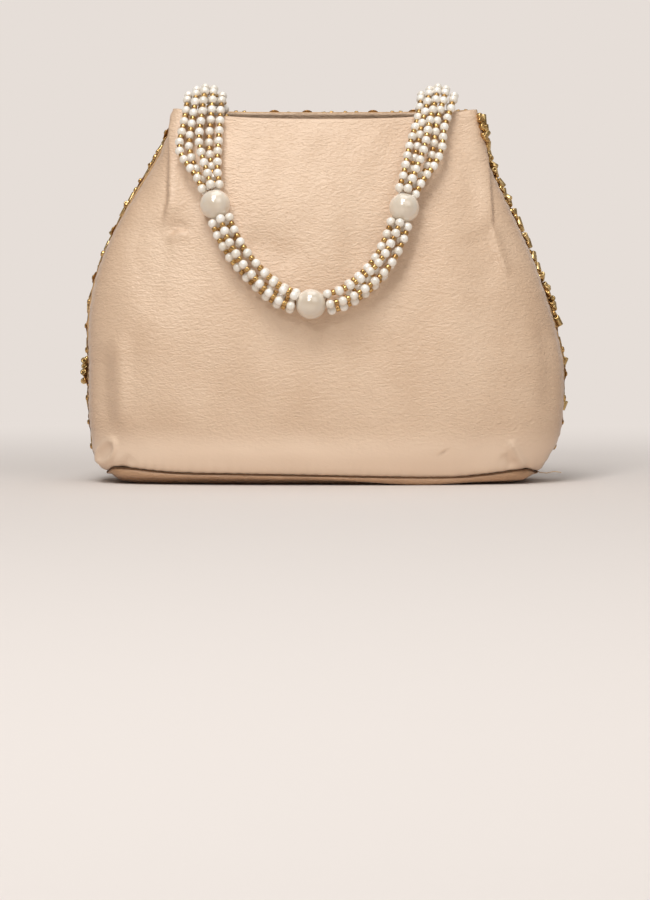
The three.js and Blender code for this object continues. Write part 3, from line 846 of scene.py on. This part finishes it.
def makeBase():
    count = base["count"]

    def seam(turn):
        return seamAt(turn) - body["gap"]

    def outer(inset, low, high):
        def heightAt(turn):
            return edgeAt(turn) * low + (seam(turn) - edgeAt(turn)) * high

        ring = ringAt(inset * mm, heightAt, count)
        for i, p in enumerate(ring):
            gather = high * base["pucker"] * (0.5 + 0.5 * math.sin(base["puckers"] * 2 * math.pi * i / count))
            p.xy *= 1 - gather / p.xy.length
        return ring

    def inner(share):
        angle = share * math.pi / 2
        inset = body["satin"] + (base["foot"] - body["satin"]) * (1 - math.sin(angle))

        def heightAt(turn):
            under = max(0, edgeAt(turn) - body["satin"]) * math.sin(angle)
            return mix(body["satin"] + under, seam(turn), 1 - math.cos(angle))

        return ringAt(inset, heightAt, count)

    shares = [k / base["rings"] for k in range(base["rings"] + 1)]
    under, over = outer(*underside[0]), inner(0)
    rings = [shrunk(under, s) for s in (0.3, 0.6, 0.85)] + [outer(*ring) for ring in underside + strip]
    rings += [inner(s) for s in reversed(shares)] + [shrunk(over, s) for s in (0.85, 0.6, 0.3)]
    return ringLoft("basePanelCloth", rings, looks["base"])


baseCloth = addPiece(makeBase(), "bag", "base_satin", "base_panel")
halfBase = [bodyHalf(body["seam"], axis) for axis in (0, 1)]
baseFlat = (2 * halfBase[0] + base["foot"], 2 * halfBase[1] + base["foot"])
baseArea = base["areaShare"] * baseFlat[0] * baseFlat[1]


facing = {"columns": 150, "rows": 34, "below": 0.2 * mm}


def makeFacing(name, wall):
    columns = easedShares(facing["columns"])

    def face(inset):
        def at(i, j):
            turn = wall["turnAt"](columns[i])
            top = rimAt(turn) - body["gap"] - facing["below"]
            z = mix(top - body["facingDepth"], top, j / facing["rows"])
            return keepSide(wall, onCloth(wall, turn, z, 0, inset))
        return at

    points, faces = closedSheet(facing["columns"], facing["rows"], face(facingInset), face(insideInset))
    return meshObject(name, points, faces, looks["back"])


for side, restsOn in (("back", "backPanelCloth"), ("front", "frontPanelCloth")):
    made = makeFacing(side + "FacingCloth", walls[side])
    addPiece(made, "bag", "back_satin", side + "_facing")
    top = body["backRim"] if side == "back" else body["frontRim"]
    low = top - body["facingDepth"]
    declareCut(made, walls[side]["turnAt"], low, top, facingInset)

lining = {
    "count": 150,
    "levels": 54,
    "slack": 1.6 * mm,
    "crumple": 1.4 * mm,
    "size": 0.02,
    "board": 1.5 * mm,
    "held": 20 * mm,
    "floorShare": 0.8,
}


def makeLining():
    bottom = body["satin"] + lining["board"] + 2 * body["gap"]
    top = body["frontRim"] - body["facingDepth"]
    outer = insideInset + body["gap"]
    count = lining["count"]

    def crumple(point):
        return (0.5 + 0.5 * noise.noise(point / lining["size"])) * lining["crumple"]

    def wallRing(z, inset):
        ring = []
        slack = lining["slack"] * smooth(-body["bellyHeight"], -bottom, -z)
        for i in range(count):
            turn = 2 * math.pi * i / count
            plain = wallPoint(turn, z)
            free = smooth(top, top - lining["held"], z)
            ring.append(wallPoint(turn, z, inset + slack + crumple(plain) * free))
        return ring

    heights = [mix(bottom, top, 0.04 + 0.96 * k / lining["levels"]) for k in range(lining["levels"] + 1)]
    foot = base["foot"] + lining["slack"]
    inner = outer + body["lining"]
    floorOut = ringAt(outer + foot, lambda turn: bottom, count)
    floorIn = ringAt(inner + foot, lambda turn: bottom + body["lining"], count)
    rings = [shrunk(floorOut, 0.5), floorOut] + [wallRing(z, outer) for z in heights]
    rings += [wallRing(z, inner) for z in reversed(heights)] + [floorIn, shrunk(floorIn, 0.5)]
    return ringLoft("liningCloth", rings, looks["lining"])


liningCloth = addPiece(makeLining(), "bag", "lining_cloth", "lining")
liningTop = body["frontRim"] - body["facingDepth"]
liningWide, liningRise, liningArea = cutOf(backTurn, body["satin"], liningTop, insideInset)
liningFlat = (liningWide, 2 * liningRise + 2 * halfBase[1])
liningFloor = lining["floorShare"] * 4 * halfBase[0] * halfBase[1]
liningCut = 2 * liningArea + liningFloor
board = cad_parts["base_board"]
board.data.materials.clear()
board.data.materials.append(looks["board"])
print("base, facings and lining made")


# Beads and what they are strung on
beads = {
    "pearl": 2.0 * mm,
    "hole": 0.42 * mm,
    "gold": 1.22 * mm,
    "goldHalf": 0.9 * mm,
    "goldHole": 0.4 * mm,
    "large": 6.2 * mm,
    "largeHole": 1 * mm,
    "thread": 0.24 * mm,
    "stray": 0.22 * mm,
    "slip": 0.2,
    "pearlScale": (0.92, 0.98),
    "goldScale": (0.93, 1.05),
}

crest = {
    "middle": {"left": -50.5 * mm, "right": 47.5 * mm},
    "halfRow": 9 * mm,
    "from": 128 * mm,
    "to": 162 * mm,
    "arch": 2.4 * mm,
    "uneven": 0.5 * mm,
    "weave": 0.9 * mm,
    "gather": 0.2,
    "drawn": 5 * mm,
    "drawnFrom": 37 * mm,
    "drawnWidth": 19 * mm,
    "drawnRise": (108 * mm, 124 * mm),
    "drawnFall": (148 * mm, 164 * mm),
}


def drilledBall(radius, hole, rings, sides):
    lip = math.asin(hole / radius)
    outline = []
    for k in range(rings + 1):
        angle = mix(lip, math.pi - lip, k / rings)
        outline.append((radius * math.sin(angle), -radius * math.cos(angle)))
    return turned(outline, sides)


# A bead with a round outer wall, a hole through it and softened ends
def ringBead(radius, half, hole, soften, sides, steps=4):
    outline = []
    for end, start in ((-1, -math.pi / 2), (1, 0)):
        for k in range(steps + 1):
            angle = mix(start, start + math.pi / 2, k / steps)
            height = end * (half - soften) + soften * math.sin(angle)
            outline.append((radius - soften + soften * math.cos(angle), height))
    outline += [(hole, half), (hole, -half)]
    return turned(outline, sides)


# A round thread along its points, closed at both ends
def tube(points, radius, sides=6):
    made, faces = [], []
    for k, point in enumerate(points):
        before = points[max(0, k - 1)]
        after = points[min(len(points) - 1, k + 1)]
        turn = (after - before).to_track_quat("Z", "Y")
        for s in range(sides):
            angle = 2 * math.pi * s / sides
            made.append(point + turn @ Vector((radius * math.cos(angle), radius * math.sin(angle), 0)))
    for k in range(len(points) - 1):
        for s in range(sides):
            a, b = k * sides + s, k * sides + (s + 1) % sides
            faces.append((a, b, b + sides, a + sides))
    faces.append(tuple(reversed(range(sides))))
    faces.append(tuple(range(len(made) - sides, len(made))))
    return made, faces


def joinTubes(name, routes, radius, material):
    points, faces = [], []
    for route in routes:
        more, moreFaces = tube(route, radius)
        faces += [tuple(v + len(points) for v in face) for face in moreFaces]
        points += more
    return meshObject(name, points, faces, material)


# The bead places of a strand, from its solid: rings of vertices in order from one end
def strandRings(node):
    mesh = bmesh.new()
    mesh.from_mesh(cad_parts[node].data)
    bmesh.ops.remove_doubles(mesh, verts=mesh.verts, dist=1e-6)
    rings = None
    for start in mesh.verts:
        layers, seen = [[start]], {start}
        while layers[-1]:
            ring = []
            for v in layers[-1]:
                for edge in v.link_edges:
                    other = edge.other_vert(v)
                    if other not in seen:
                        seen.add(other)
                        ring.append(other)
            layers.append(ring)
        sizes = {len(ring) for ring in layers[1:-2]}
        if sizes == {5} and len(layers[-2]) == 1:
            rings = [sum((v.co for v in ring), Vector()) / len(ring) for ring in layers[:-1]]
            break
    mesh.free()
    if rings[0].z < rings[-1].z:
        rings.reverse()
    return rings[1:-1]


def strandBeads(node):
    rings = strandRings(node)
    return [(rings[k] + rings[k + 1]) / 2 for k in range(0, len(rings), 3)]


# At the crest the strands crowd together, the middle ones on top. The right bundle is drawn in below it
def crowded(place, side, k):
    share = smooth(crest["from"], crest["to"], place.z)
    away = place.x - crest["middle"][side]
    lowered = crest["arch"] * (away / crest["halfRow"]) ** 2 + crest["uneven"] * (k * 2 % 3 - 1)
    forward = crest["weave"] * (k % 2 * 2 - 1)
    gathered = Vector((-crest["gather"] * away, forward, -lowered)) * share
    if side == "right":
        across = clamp((place.x - crest["drawnFrom"]) / crest["drawnWidth"])
        level = smooth(*crest["drawnRise"], place.z) * (1 - smooth(*crest["drawnFall"], place.z) * 0.8)
        gathered.x -= crest["drawn"] * (0.3 + 0.7 * across) * level
        gathered.y -= crest["weave"] * (k % 2) * level
    return place + gathered


# Strung beads lie a little uneven: each strand slips along its thread between its ends, and each
# bead strays a little to a side
def unsettled(places, slip, seed):
    made = []
    for k, place in enumerate(places):
        share = k / max(1, len(places) - 1)
        other = places[min(len(places) - 1, max(0, k + (1 if slip > 0 else -1)))]
        stray = Vector([noise.noise(Vector((k * 0.7, seed, 9.5 * n))) for n in range(3)]) * beads["stray"]
        made.append(place.lerp(other, abs(slip) * math.sin(math.pi * share)) + stray)
    return made


def facingsAlong(places):
    ends = [places[0]] + places + [places[-1]]
    return [ends[k + 2] - ends[k] for k in range(len(places))]


pearlShape = drilledBall(beads["pearl"], beads["hole"], 12, 18)
goldShape = ringBead(beads["gold"], beads["goldHalf"], beads["goldHole"], 0.5 * mm, 14)
largeShape = drilledBall(beads["large"], beads["largeHole"], 32, 56)

largePlaces = {}
for side in ("left", "right", "low"):
    low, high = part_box("large_pearl_" + side)
    largePlaces[side] = (Vector(low) + Vector(high)) / 2


# Where a strand's thread goes into the drilled hole of the nearest large pearl
def holeMouth(side, axis, place):
    towards = axis if (place - largePlaces[side]).dot(axis) > 0 else -axis
    return largePlaces[side] + towards * beads["large"] * 0.97


def makeBundle(kind, side, bodyName, ends):
    nodes = [f"{kind}_strand_{side}_{k}" for k in range(1, 6)]
    pearlPlacings, goldPlacings, routes = [], [], []
    for node in nodes:
        slip = random.uniform(-1, 1) * beads["slip"]
        pearls = strandBeads(node)
        if kind != "lower":
            pearls = [crowded(place, side, nodes.index(node)) for place in pearls]
        if kind != "root":
            pearls = unsettled(pearls, slip, random.uniform(0, 50))
        golds = [(a + b) / 2 for a, b in zip(pearls, pearls[1:])]
        for place, axis in zip(pearls, facingsAlong(pearls)):
            roll, scale = random.uniform(0, 6), random.uniform(*beads["pearlScale"])
            pearlPlacings.append(placing(place, axis, roll, scale))
        if len(golds) > 1:
            directions = facingsAlong(golds)
        else:
            directions = [pearls[-1] - pearls[0]] * len(golds)
        for place, axis in zip(golds, directions):
            roll, scale = random.uniform(0, 6), random.uniform(*beads["goldScale"])
            goldPlacings.append(placing(place, axis, roll, scale))
        route = list(pearls)
        for which, axis in ends:
            atStart = which != "low" and kind == "lower"
            mouth = holeMouth(which, axis, route[0 if atStart else -1])
            route.insert(0 if atStart else len(route), mouth)
        if kind == "root":
            top = crestPlaces[side][nodes.index(node)]
            goldPlacings.append(placing((top + pearls[0]) / 2, top - pearls[0]))
            route.insert(0, top)
        routes.append(route)
    label = kind + side.capitalize()
    pearlsPiece = scatter(label + "Pearls", pearlShape, pearlPlacings, looks["pearl"])
    addPiece(pearlsPiece, bodyName, "pearl", *nodes)
    addPiece(scatter(label + "Gold", goldShape, goldPlacings, looks["gold"]), bodyName, "gold_bead")
    addPiece(joinTubes(label + "Thread", routes, beads["thread"], looks["thread"]), bodyName, "thread")


crestPlaces = {}
acrossLow = Vector((1, 0, 0))
for side in ("left", "right"):
    tops = [strandBeads(f"upper_strand_{side}_{k}")[0] for k in range(1, 6)]
    crestPlaces[side] = [crowded(place, side, k) for k, place in enumerate(tops)]
    starts = [strandBeads(f"lower_strand_{side}_{k}")[0] for k in range(1, 6)]
    axis = (sum(starts, Vector()) / 5 - largePlaces[side]).normalized()
    makeBundle("upper", side, "handle", [(side, axis)])
    makeBundle("lower", side, "handle", [(side, axis), ("low", acrossLow)])
    makeBundle("root", side, "bag", [])
    placings = [placing(largePlaces[side], axis)]
    ball = scatter("largePearl" + side.capitalize(), largeShape, placings, looks["large"])
    addPiece(ball, "handle", "pearl", "large_pearl_" + side)
ball = scatter("largePearlLow", largeShape, [placing(largePlaces["low"], acrossLow)], looks["large"])
addPiece(ball, "handle", "pearl", "large_pearl_low")
print("handle strung")


# Folded satin tabs that hold the strands' threads
tab = {"columns": 28, "rows": 20, "thick": 3 * mm, "edge": 0.45, "crown": 8, "short": 0.6 * mm}


def makeTab(side):
    low, high = (Vector(v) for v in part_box("handle_tab_" + side))
    wall = walls["back"]

    def face(lift):
        def at(i, j):
            across, up = i / tab["columns"], j / tab["rows"]
            x, z = mix(low.x, high.x, across), mix(low.z + tab["short"], high.z - tab["short"], up)
            reach = clamp((x - leanAt(z)) / (bodyHalf(z, 0) - insideInset), -1, 1)
            turn = 2 * math.pi - math.acos(reach)
            edge = min(across, 1 - across) * tab["crown"]
            top = min(up, 1 - up) * tab["crown"]
            crown = math.sqrt(clamp(edge) * clamp(top)) if lift else 1
            thick = mix(tab["edge"], 1, crown)
            return onCloth(wall, turn, z, -(body["gap"] + lift * thick), insideInset)
        return at

    points, faces = closedSheet(tab["columns"], tab["rows"], face(0.0), face(tab["thick"]))
    return meshObject("handleTab" + side.capitalize(), points, faces, looks["back"])


for side in ("left", "right"):
    addPiece(makeTab(side), "bag", "back_satin", "handle_tab_" + side)

# Magnetic snap: a plate with a rolled rim on each facing, a stud on one and a socket in the other
snap = {
    "radius": 7 * mm,
    "plate": 2 * mm,
    "stud": 2.5 * mm,
    "rise": 2.2 * mm,
    "clear": 0.4 * mm,
    "drop": 17 * mm,
    "soft": 0.5 * mm,
    "sides": 64,
}


def softened(outline, soft, steps=4):
    made = [outline[0]]
    for before, corner, after in zip(outline, outline[1:], outline[2:]):
        a, b, c = Vector(before), Vector(corner), Vector(after)
        reach = min(soft, (a - b).length * 0.45, (c - b).length * 0.45)
        start, end = b + (a - b).normalized() * reach, b + (c - b).normalized() * reach
        for k in range(steps + 1):
            t = k / steps
            made.append(tuple(start * (1 - t) ** 2 + b * 2 * t * (1 - t) + end * t * t))
    return made + [outline[-1]]


def makeSnap(node, name, wallSide, socket):
    radius, plate, top = snap["radius"], snap["plate"], snap["plate"] + snap["rise"]
    if socket:
        bore = snap["stud"] + snap["clear"]
        outline = [(0, 0), (radius, 0), (radius, top), (bore, top), (bore, plate), (0, plate)]
    else:
        stud = snap["stud"]
        outline = [(0, 0), (radius, 0), (radius, plate), (stud, plate), (stud, top), (0, top)]
    z = body["backRim"] - snap["drop"]
    turn = math.pi * (1.5 if wallSide == "back" else 0.5)
    seat = onCloth(walls[wallSide], turn, z, -body["gap"], insideInset)
    inward = -wallNormal(turn, z)
    shape = turned(softened(outline, snap["soft"]), snap["sides"])
    piece = scatter(name, shape, [placing(seat, inward)], looks["snap"])
    addPiece(piece, "bag", "snap_metal", node)


makeSnap("snap_stud", "snapStud", "back", False)
makeSnap("snap_socket", "snapSocket", "front", True)
print("tabs and snap made")


# Embroidery on the front: a lattice of bugles with a seed bead at each crossing and a cupped
# sequin in each diamond. A diamond is two columns wide and two rows high
work = {
    "columns": 28,
    "rows": 15,
    "bugle": 4.4 * mm,
    "bugleGap": 0.2 * mm,
    "crossing": 2 * mm,
    "bugleRadius": 0.95 * mm,
    "bugleHole": 0.45 * mm,
    "edgeBugle": 4.2 * mm,
    "edgeRadius": 1.35 * mm,
    "seed": 1.05 * mm,
    "sequin": 2.6 * mm,
    "cup": 0.7 * mm,
    "foil": 0.18 * mm,
}
bugleShape = ringBead(work["bugleRadius"], work["bugle"] / 2, work["bugleHole"], 0.3 * mm, 10, 2)
edgeShape = ringBead(work["edgeRadius"], work["edgeBugle"] / 2, work["bugleHole"], 0.3 * mm, 12, 2)
seedShape = ringBead(beads["gold"], beads["goldHalf"], beads["goldHole"], 0.5 * mm, 10, 2)


# A cupped sequin is a thin dished disc with a hole in the middle
def cupSequin():
    outline = []
    for k in range(6):
        share = mix(0.14, 1, k / 5)
        outline.append((work["sequin"] * share, work["cup"] * share ** 2))
    back = [(r, h - work["foil"]) for r, h in reversed(outline)]
    return turned(outline + back, 16)


sequinShape = cupSequin()
bugles, edgeBugles, seeds, sequins = [], [], [], []


# A place of the lattice by its column and row, and the way out from the cloth there
def latticePlace(column, row, lift):
    turn = frontTurn(column / work["columns"])
    z = mix(seamAt(turn), rimAt(turn), row / work["rows"])
    return onCloth(walls["front"], turn, z, lift), wallNormal(safeTurn(turn), z)


def inLattice(column, row):
    return 0 < column < work["columns"] and 0 < row < work["rows"]


# Bugles end to end between two crossings
def bugleRun(start, end):
    def at(share):
        column, row = mix(start[0], end[0], share), mix(start[1], end[1], share)
        return latticePlace(column, row, work["bugleRadius"])[0]

    length = (at(1) - at(0)).length
    pitch = work["bugle"] + work["bugleGap"]
    count = int((length - work["crossing"]) / pitch)
    for k in range(count):
        share = 0.5 + (k - (count - 1) / 2) * pitch / length
        axis = (at(share + 0.1) - at(share - 0.1)).normalized()
        wobble = Vector([random.uniform(-0.04, 0.04) for _ in range(3)])
        bugles.append(placing(at(share), axis + wobble))


for column in range(1, work["columns"]):
    for row in range(1, work["rows"]):
        if (column + row) % 2:
            place, normal = latticePlace(column, row, 0.3 * mm)
            tilt = Vector([random.uniform(-0.1, 0.1) for _ in range(3)])
            sequins.append(placing(place, normal + tilt))
            seeds.append(placing(place + normal * mm, normal, 0, 0.9))
            continue
        place, normal = latticePlace(column, row, work["seed"] * 0.8)
        seeds.append(placing(place, normal, random.uniform(0, 6), 1.15))
        for rise in (-1, 1):
            if inLattice(column + 1, row + rise):
                bugleRun((column, row), (column + 1, row + rise))


# Loose work down both side seams: bugles at odd angles with seed beads and sequins between. Each
# run has its heights in millimetres, its numbers of beads and how far round from the seam it lies.
# At the right top corner the work laps round onto the back
runs = [
    {"side": "right", "heights": (64, 150), "bugles": 26, "seeds": 30, "sequins": 7, "round": (0.02, 0.07)},
    {"side": "right", "heights": (20, 62), "bugles": 2, "seeds": 7, "sequins": 1, "round": (0.13, 0.2)},
    {"side": "corner", "heights": (139, 153), "bugles": 4, "seeds": 14, "sequins": 0, "round": (0.02, 0.2)},
    {"side": "left", "heights": (20, 148), "bugles": 14, "seeds": 16, "sequins": 4, "round": (0.2, 0.32)},
    {"side": "left", "heights": (121, 146), "bugles": 0, "seeds": 4, "sequins": 0, "round": (0.1, 0.13)},
    {"side": "left", "heights": (41, 52), "bugles": 4, "seeds": 3, "sequins": 1, "round": (0.03, 0.07)},
]
runs[-1]["endOn"] = True
loose = {"swing": 1.0, "tip": 0.6, "drift": 0.4, "pile": 0.6 * mm}


def loosePlaces(run, count, lift):
    low, high = (h * mm for h in run["heights"])
    for k in range(count):
        z = mix(low, high, clamp((k + 0.5 + random.uniform(-1, 1) * loose["drift"]) / count))
        away = random.uniform(*run["round"])
        turn = {"right": away, "left": math.pi - away, "corner": 2 * math.pi - away}[run["side"]]
        normal = wallNormal(turn, z)
        upward = (wallPoint(turn, z + mm) - wallPoint(turn, z - mm)).normalized()
        wall = walls["back" if run["side"] == "corner" else "front"]
        yield onCloth(wall, turn, z, lift), normal, upward


for run in runs:
    for place, normal, upward in loosePlaces(run, run["bugles"], work["edgeRadius"] * 0.9):
        place += normal * random.uniform(0, 0 if run["side"] == "corner" else loose["pile"])
        swing = random.uniform(-1, 1) * loose["swing"]
        axis = upward * math.cos(swing) + upward.cross(normal) * math.sin(swing)
        axis += normal * random.uniform(-1, 1) * loose["tip"]
        if run.get("endOn"):
            axis = Vector((-0.35, -1, random.uniform(-0.5, 0.5)))
        edgeBugles.append(placing(place, axis))
    for place, normal, upward in loosePlaces(run, run["seeds"], work["seed"] * 0.8):
        seeds.append(placing(place, normal + upward * random.uniform(-0.8, 0.8), 0, random.uniform(0.9, 1.1)))
    for place, normal, upward in loosePlaces(run, run["sequins"], 0.5 * mm):
        sequins.append(placing(place, normal + upward * random.uniform(-0.5, 0.5)))
        seeds.append(placing(place + normal * mm, normal))

# Beads along the far rim, which show over the near one, as places across in millimetres
rim = {
    "seeds": (-37.5, -34, 2.5, 8.3, 13, 28, 31.5, 43, 52, 55.5, 58.5),
    "sequins": (-21.4, -7.6, 20, 37, 48.5),
    "bugles": (-44, -28, -14, -2, 24, 34, 61),
    "drop": 0.9 * mm,
    "sequinDrop": 1.6 * mm,
    "bugleDrop": 1.2 * mm,
}


def rimPlace(x, drop, lift):
    reach = clamp((x * mm - leanAt(body["frontRim"])) / bodyHalf(body["frontRim"], 0), -1, 1)
    turn = math.acos(reach)
    z = rimAt(turn) - drop
    return onCloth(walls["front"], turn, z, lift), wallNormal(safeTurn(turn), z)


for x in rim["seeds"]:
    place, normal = rimPlace(x, rim["drop"], work["seed"] * 0.7)
    seeds.append(placing(place, Vector((1, 0, random.uniform(-0.3, 0.3)))))
for x in rim["sequins"]:
    place, normal = rimPlace(x, rim["sequinDrop"], 0.4 * mm)
    sequins.append(placing(place, normal + Vector((0, 0, 0.5))))
for x in rim["bugles"]:
    place, normal = rimPlace(x, rim["bugleDrop"], work["bugleRadius"] * 0.8)
    bugles.append(placing(place, Vector((1, 0, random.uniform(-0.2, 0.2)))))

addPiece(scatter("frontBugles", bugleShape, bugles, looks["bugle"]), "bag", "gold_bead")
addPiece(scatter("edgeBugles", edgeShape, edgeBugles, looks["bugle"]), "bag", "gold_bead")
addPiece(scatter("frontSeeds", seedShape, seeds, looks["gold"]), "bag", "gold_bead")
addPiece(scatter("frontSequins", sequinShape, sequins, looks["sequin"]), "bag", "sequin")
print("embroidery sewn", len(bugles), len(seeds), len(sequins))


# Topstitching inside the mouth and along each facing's lower edge
stitches = {"long": 2.3 * mm, "pitch": 3.3 * mm, "radius": 0.2 * mm, "below": 3.5 * mm, "above": 1.6 * mm}


def stitchRow(wall, heightAt):
    routes = []
    length = cutOf(wall["turnAt"], body["backRim"] - 1 * mm, body["backRim"], insideInset, 30)[0]
    count = int(length / stitches["pitch"])
    half = stitches["long"] / stitches["pitch"] / 2 / count
    for k in range(2, count - 2):
        middle = (k + 0.5) / count
        route = []
        for t, rise in ((-1, -0.6), (-0.6, 0.6), (0, 1), (0.6, 0.6), (1, -0.6)):
            turn = wall["turnAt"](middle + half * t)
            route.append(onCloth(wall, turn, heightAt(turn), -stitches["radius"] * rise, insideInset))
        routes.append(route)
    return routes


routes = []
for wall in walls.values():
    routes += stitchRow(wall, lambda turn: rimAt(turn) - stitches["below"])
    routes += stitchRow(wall, lambda turn: rimAt(turn) - body["facingDepth"] + stitches["above"])
addPiece(joinTubes("facingStitches", routes, stitches["radius"], looks["thread"]), "bag", "thread")

# Dark sewing down the side seams and round the base seam. The dark ring round the base seam also stands in
# for the shade in the seam's fold, as painted shade
seams = {
    "radius": 0.3 * mm,
    "round": 0.012,
    "from": 10 * mm,
    "to": 154 * mm,
    "steps": 60,
    "long": 1.5 * mm,
    "pitch": 2.4 * mm,
    "away": 0.03,
    "low": 22 * mm,
    "high": 62 * mm,
}


def sideSeam(turn):
    heights = [mix(seams["from"], seams["to"], k / seams["steps"]) for k in range(seams["steps"] + 1)]
    return [onCloth(walls["front"], turn, z, 0) for z in heights]


routes = [sideSeam(seams["round"]), sideSeam(math.pi - seams["round"])]
for k in range(int((seams["high"] - seams["low"]) / seams["pitch"])):
    z = seams["low"] + k * seams["pitch"]
    dash = [z + seams["long"] * t for t in (0, 0.25, 0.5, 0.75, 1)]
    routes.append([onCloth(walls["back"], math.pi + seams["away"], h, 0.05 * mm) for h in dash])
addPiece(joinTubes("seamSewing", routes, seams["radius"], looks["seam"]), "bag", "thread")
# Painted shade: a dark thread ring along the base seam's fold
welt = ringAt(base["weltInset"], seamAt, base["count"])
addPiece(joinTubes("baseWeltPaintedShade", [welt + welt[:1]], base["welt"], looks["seam"]), "bag", "thread")

# A loose end of sewing thread at the right bottom corner
tail = {"radius": 0.2 * mm}
tail["points"] = [(87.5, -7, 5.4), (89.5, -8, 4.2), (92.5, -8.5, 3.9), (95.5, -8.8, 4.6), (98.6, -9, 4.2)]
route = [Vector(p) * mm for p in tail["points"]]
addPiece(joinTubes("looseThread", [route], tail["radius"], looks["loose"]), "bag", "thread")
print("stitches and thread made")


# Floor that curves up into the backdrop
stage = {
    "half": 4.5,
    "front": -4.5,
    "bend": 3.2,
    "rise": 2.4,
    "radius": 0.9,
    "colour": screen(220, 212, 206),
    "glow": screen(230, 222, 216),
    "glowFrom": 0.05,
    "glowTo": 0.45,
    "sky": screen(236, 232, 228),
    "skyStrength": 0.28,
}


def makeStage():
    profile = [(stage["front"], 0), (stage["bend"], 0)]
    for k in range(1, 25):
        angle = k / 24 * math.pi / 2
        back, up = stage["radius"] * math.sin(angle), stage["radius"] * (1 - math.cos(angle))
        profile.append((stage["bend"] + back, up))
    profile.append((stage["bend"] + stage["radius"], stage["rise"]))
    points = [(x, y, z) for x in (-stage["half"], stage["half"]) for y, z in profile]
    count = len(profile)
    faces = [(k, k + 1, count + k + 1, count + k) for k in range(count - 1)]
    look = Look("backdrop")
    grain = look.noise(look.place(), 0.02, 2.0)
    tone = look.mixColour(grain * 0.06, stage["colour"], screen(214, 204, 197))
    away = look.axes(look.place())[1]
    behind = look.eased(away, stage["glowFrom"] / mm, stage["glowTo"] / mm)
    kinds = ("Is Camera Ray", "Is Glossy Ray", "Is Transmission Ray")
    rays = [look.node("ShaderNodeLightPath", output=kind) for kind in kinds]
    seen = rays[0] + rays[1] + rays[2]
    glow = look.node("ShaderNodeEmission", None, {"Color": stage["glow"], "Strength": 1.0})
    cloth = look.principled(Base_Color=tone, Roughness=0.85)
    shader = look.node("ShaderNodeMixShader", None, {0: behind * seen, 1: cloth, 2: glow})
    backdrop = meshObject("backdrop", points, faces, look.output(shader))


makeStage()

lights = {
    "key": {"place": (-0.3, -1.0, 1.8), "aim": (0, 0, 0.06), "size": 0.8, "power": 19},
    "spark": {"place": (-0.5, -1.5, 1.15), "aim": (0, 0, 0.1), "size": 0.4, "power": 7},
    "fill": {"place": (0.8, -1.3, 1.2), "aim": (0, 0, 0.08), "size": 1.2, "power": 5},
    "top": {"place": (0.1, 0.3, 1.9), "aim": (0, 0, 0.1), "size": 1.4, "power": 9},
}


def makeLights():
    for name, facts in lights.items():
        data = bpy.data.lights.new(name, "AREA")
        data.shape = "SQUARE"
        data.size = facts["size"]
        data.energy = facts["power"]
        lamp = bpy.data.objects.new(name, data)
        bpy.context.collection.objects.link(lamp)
        lamp.location = facts["place"]
        towards = Vector(facts["aim"]) - lamp.location
        lamp.rotation_euler = towards.to_track_quat("-Z", "Y").to_euler()
    world = bpy.data.worlds.new("world")
    bpy.context.scene.world = world
    world.use_nodes = True
    sky = world.node_tree.nodes["Background"]
    sky.inputs["Color"].default_value = stage["sky"]
    sky.inputs["Strength"].default_value = stage["skyStrength"]


makeLights()
print("stage and lights set")
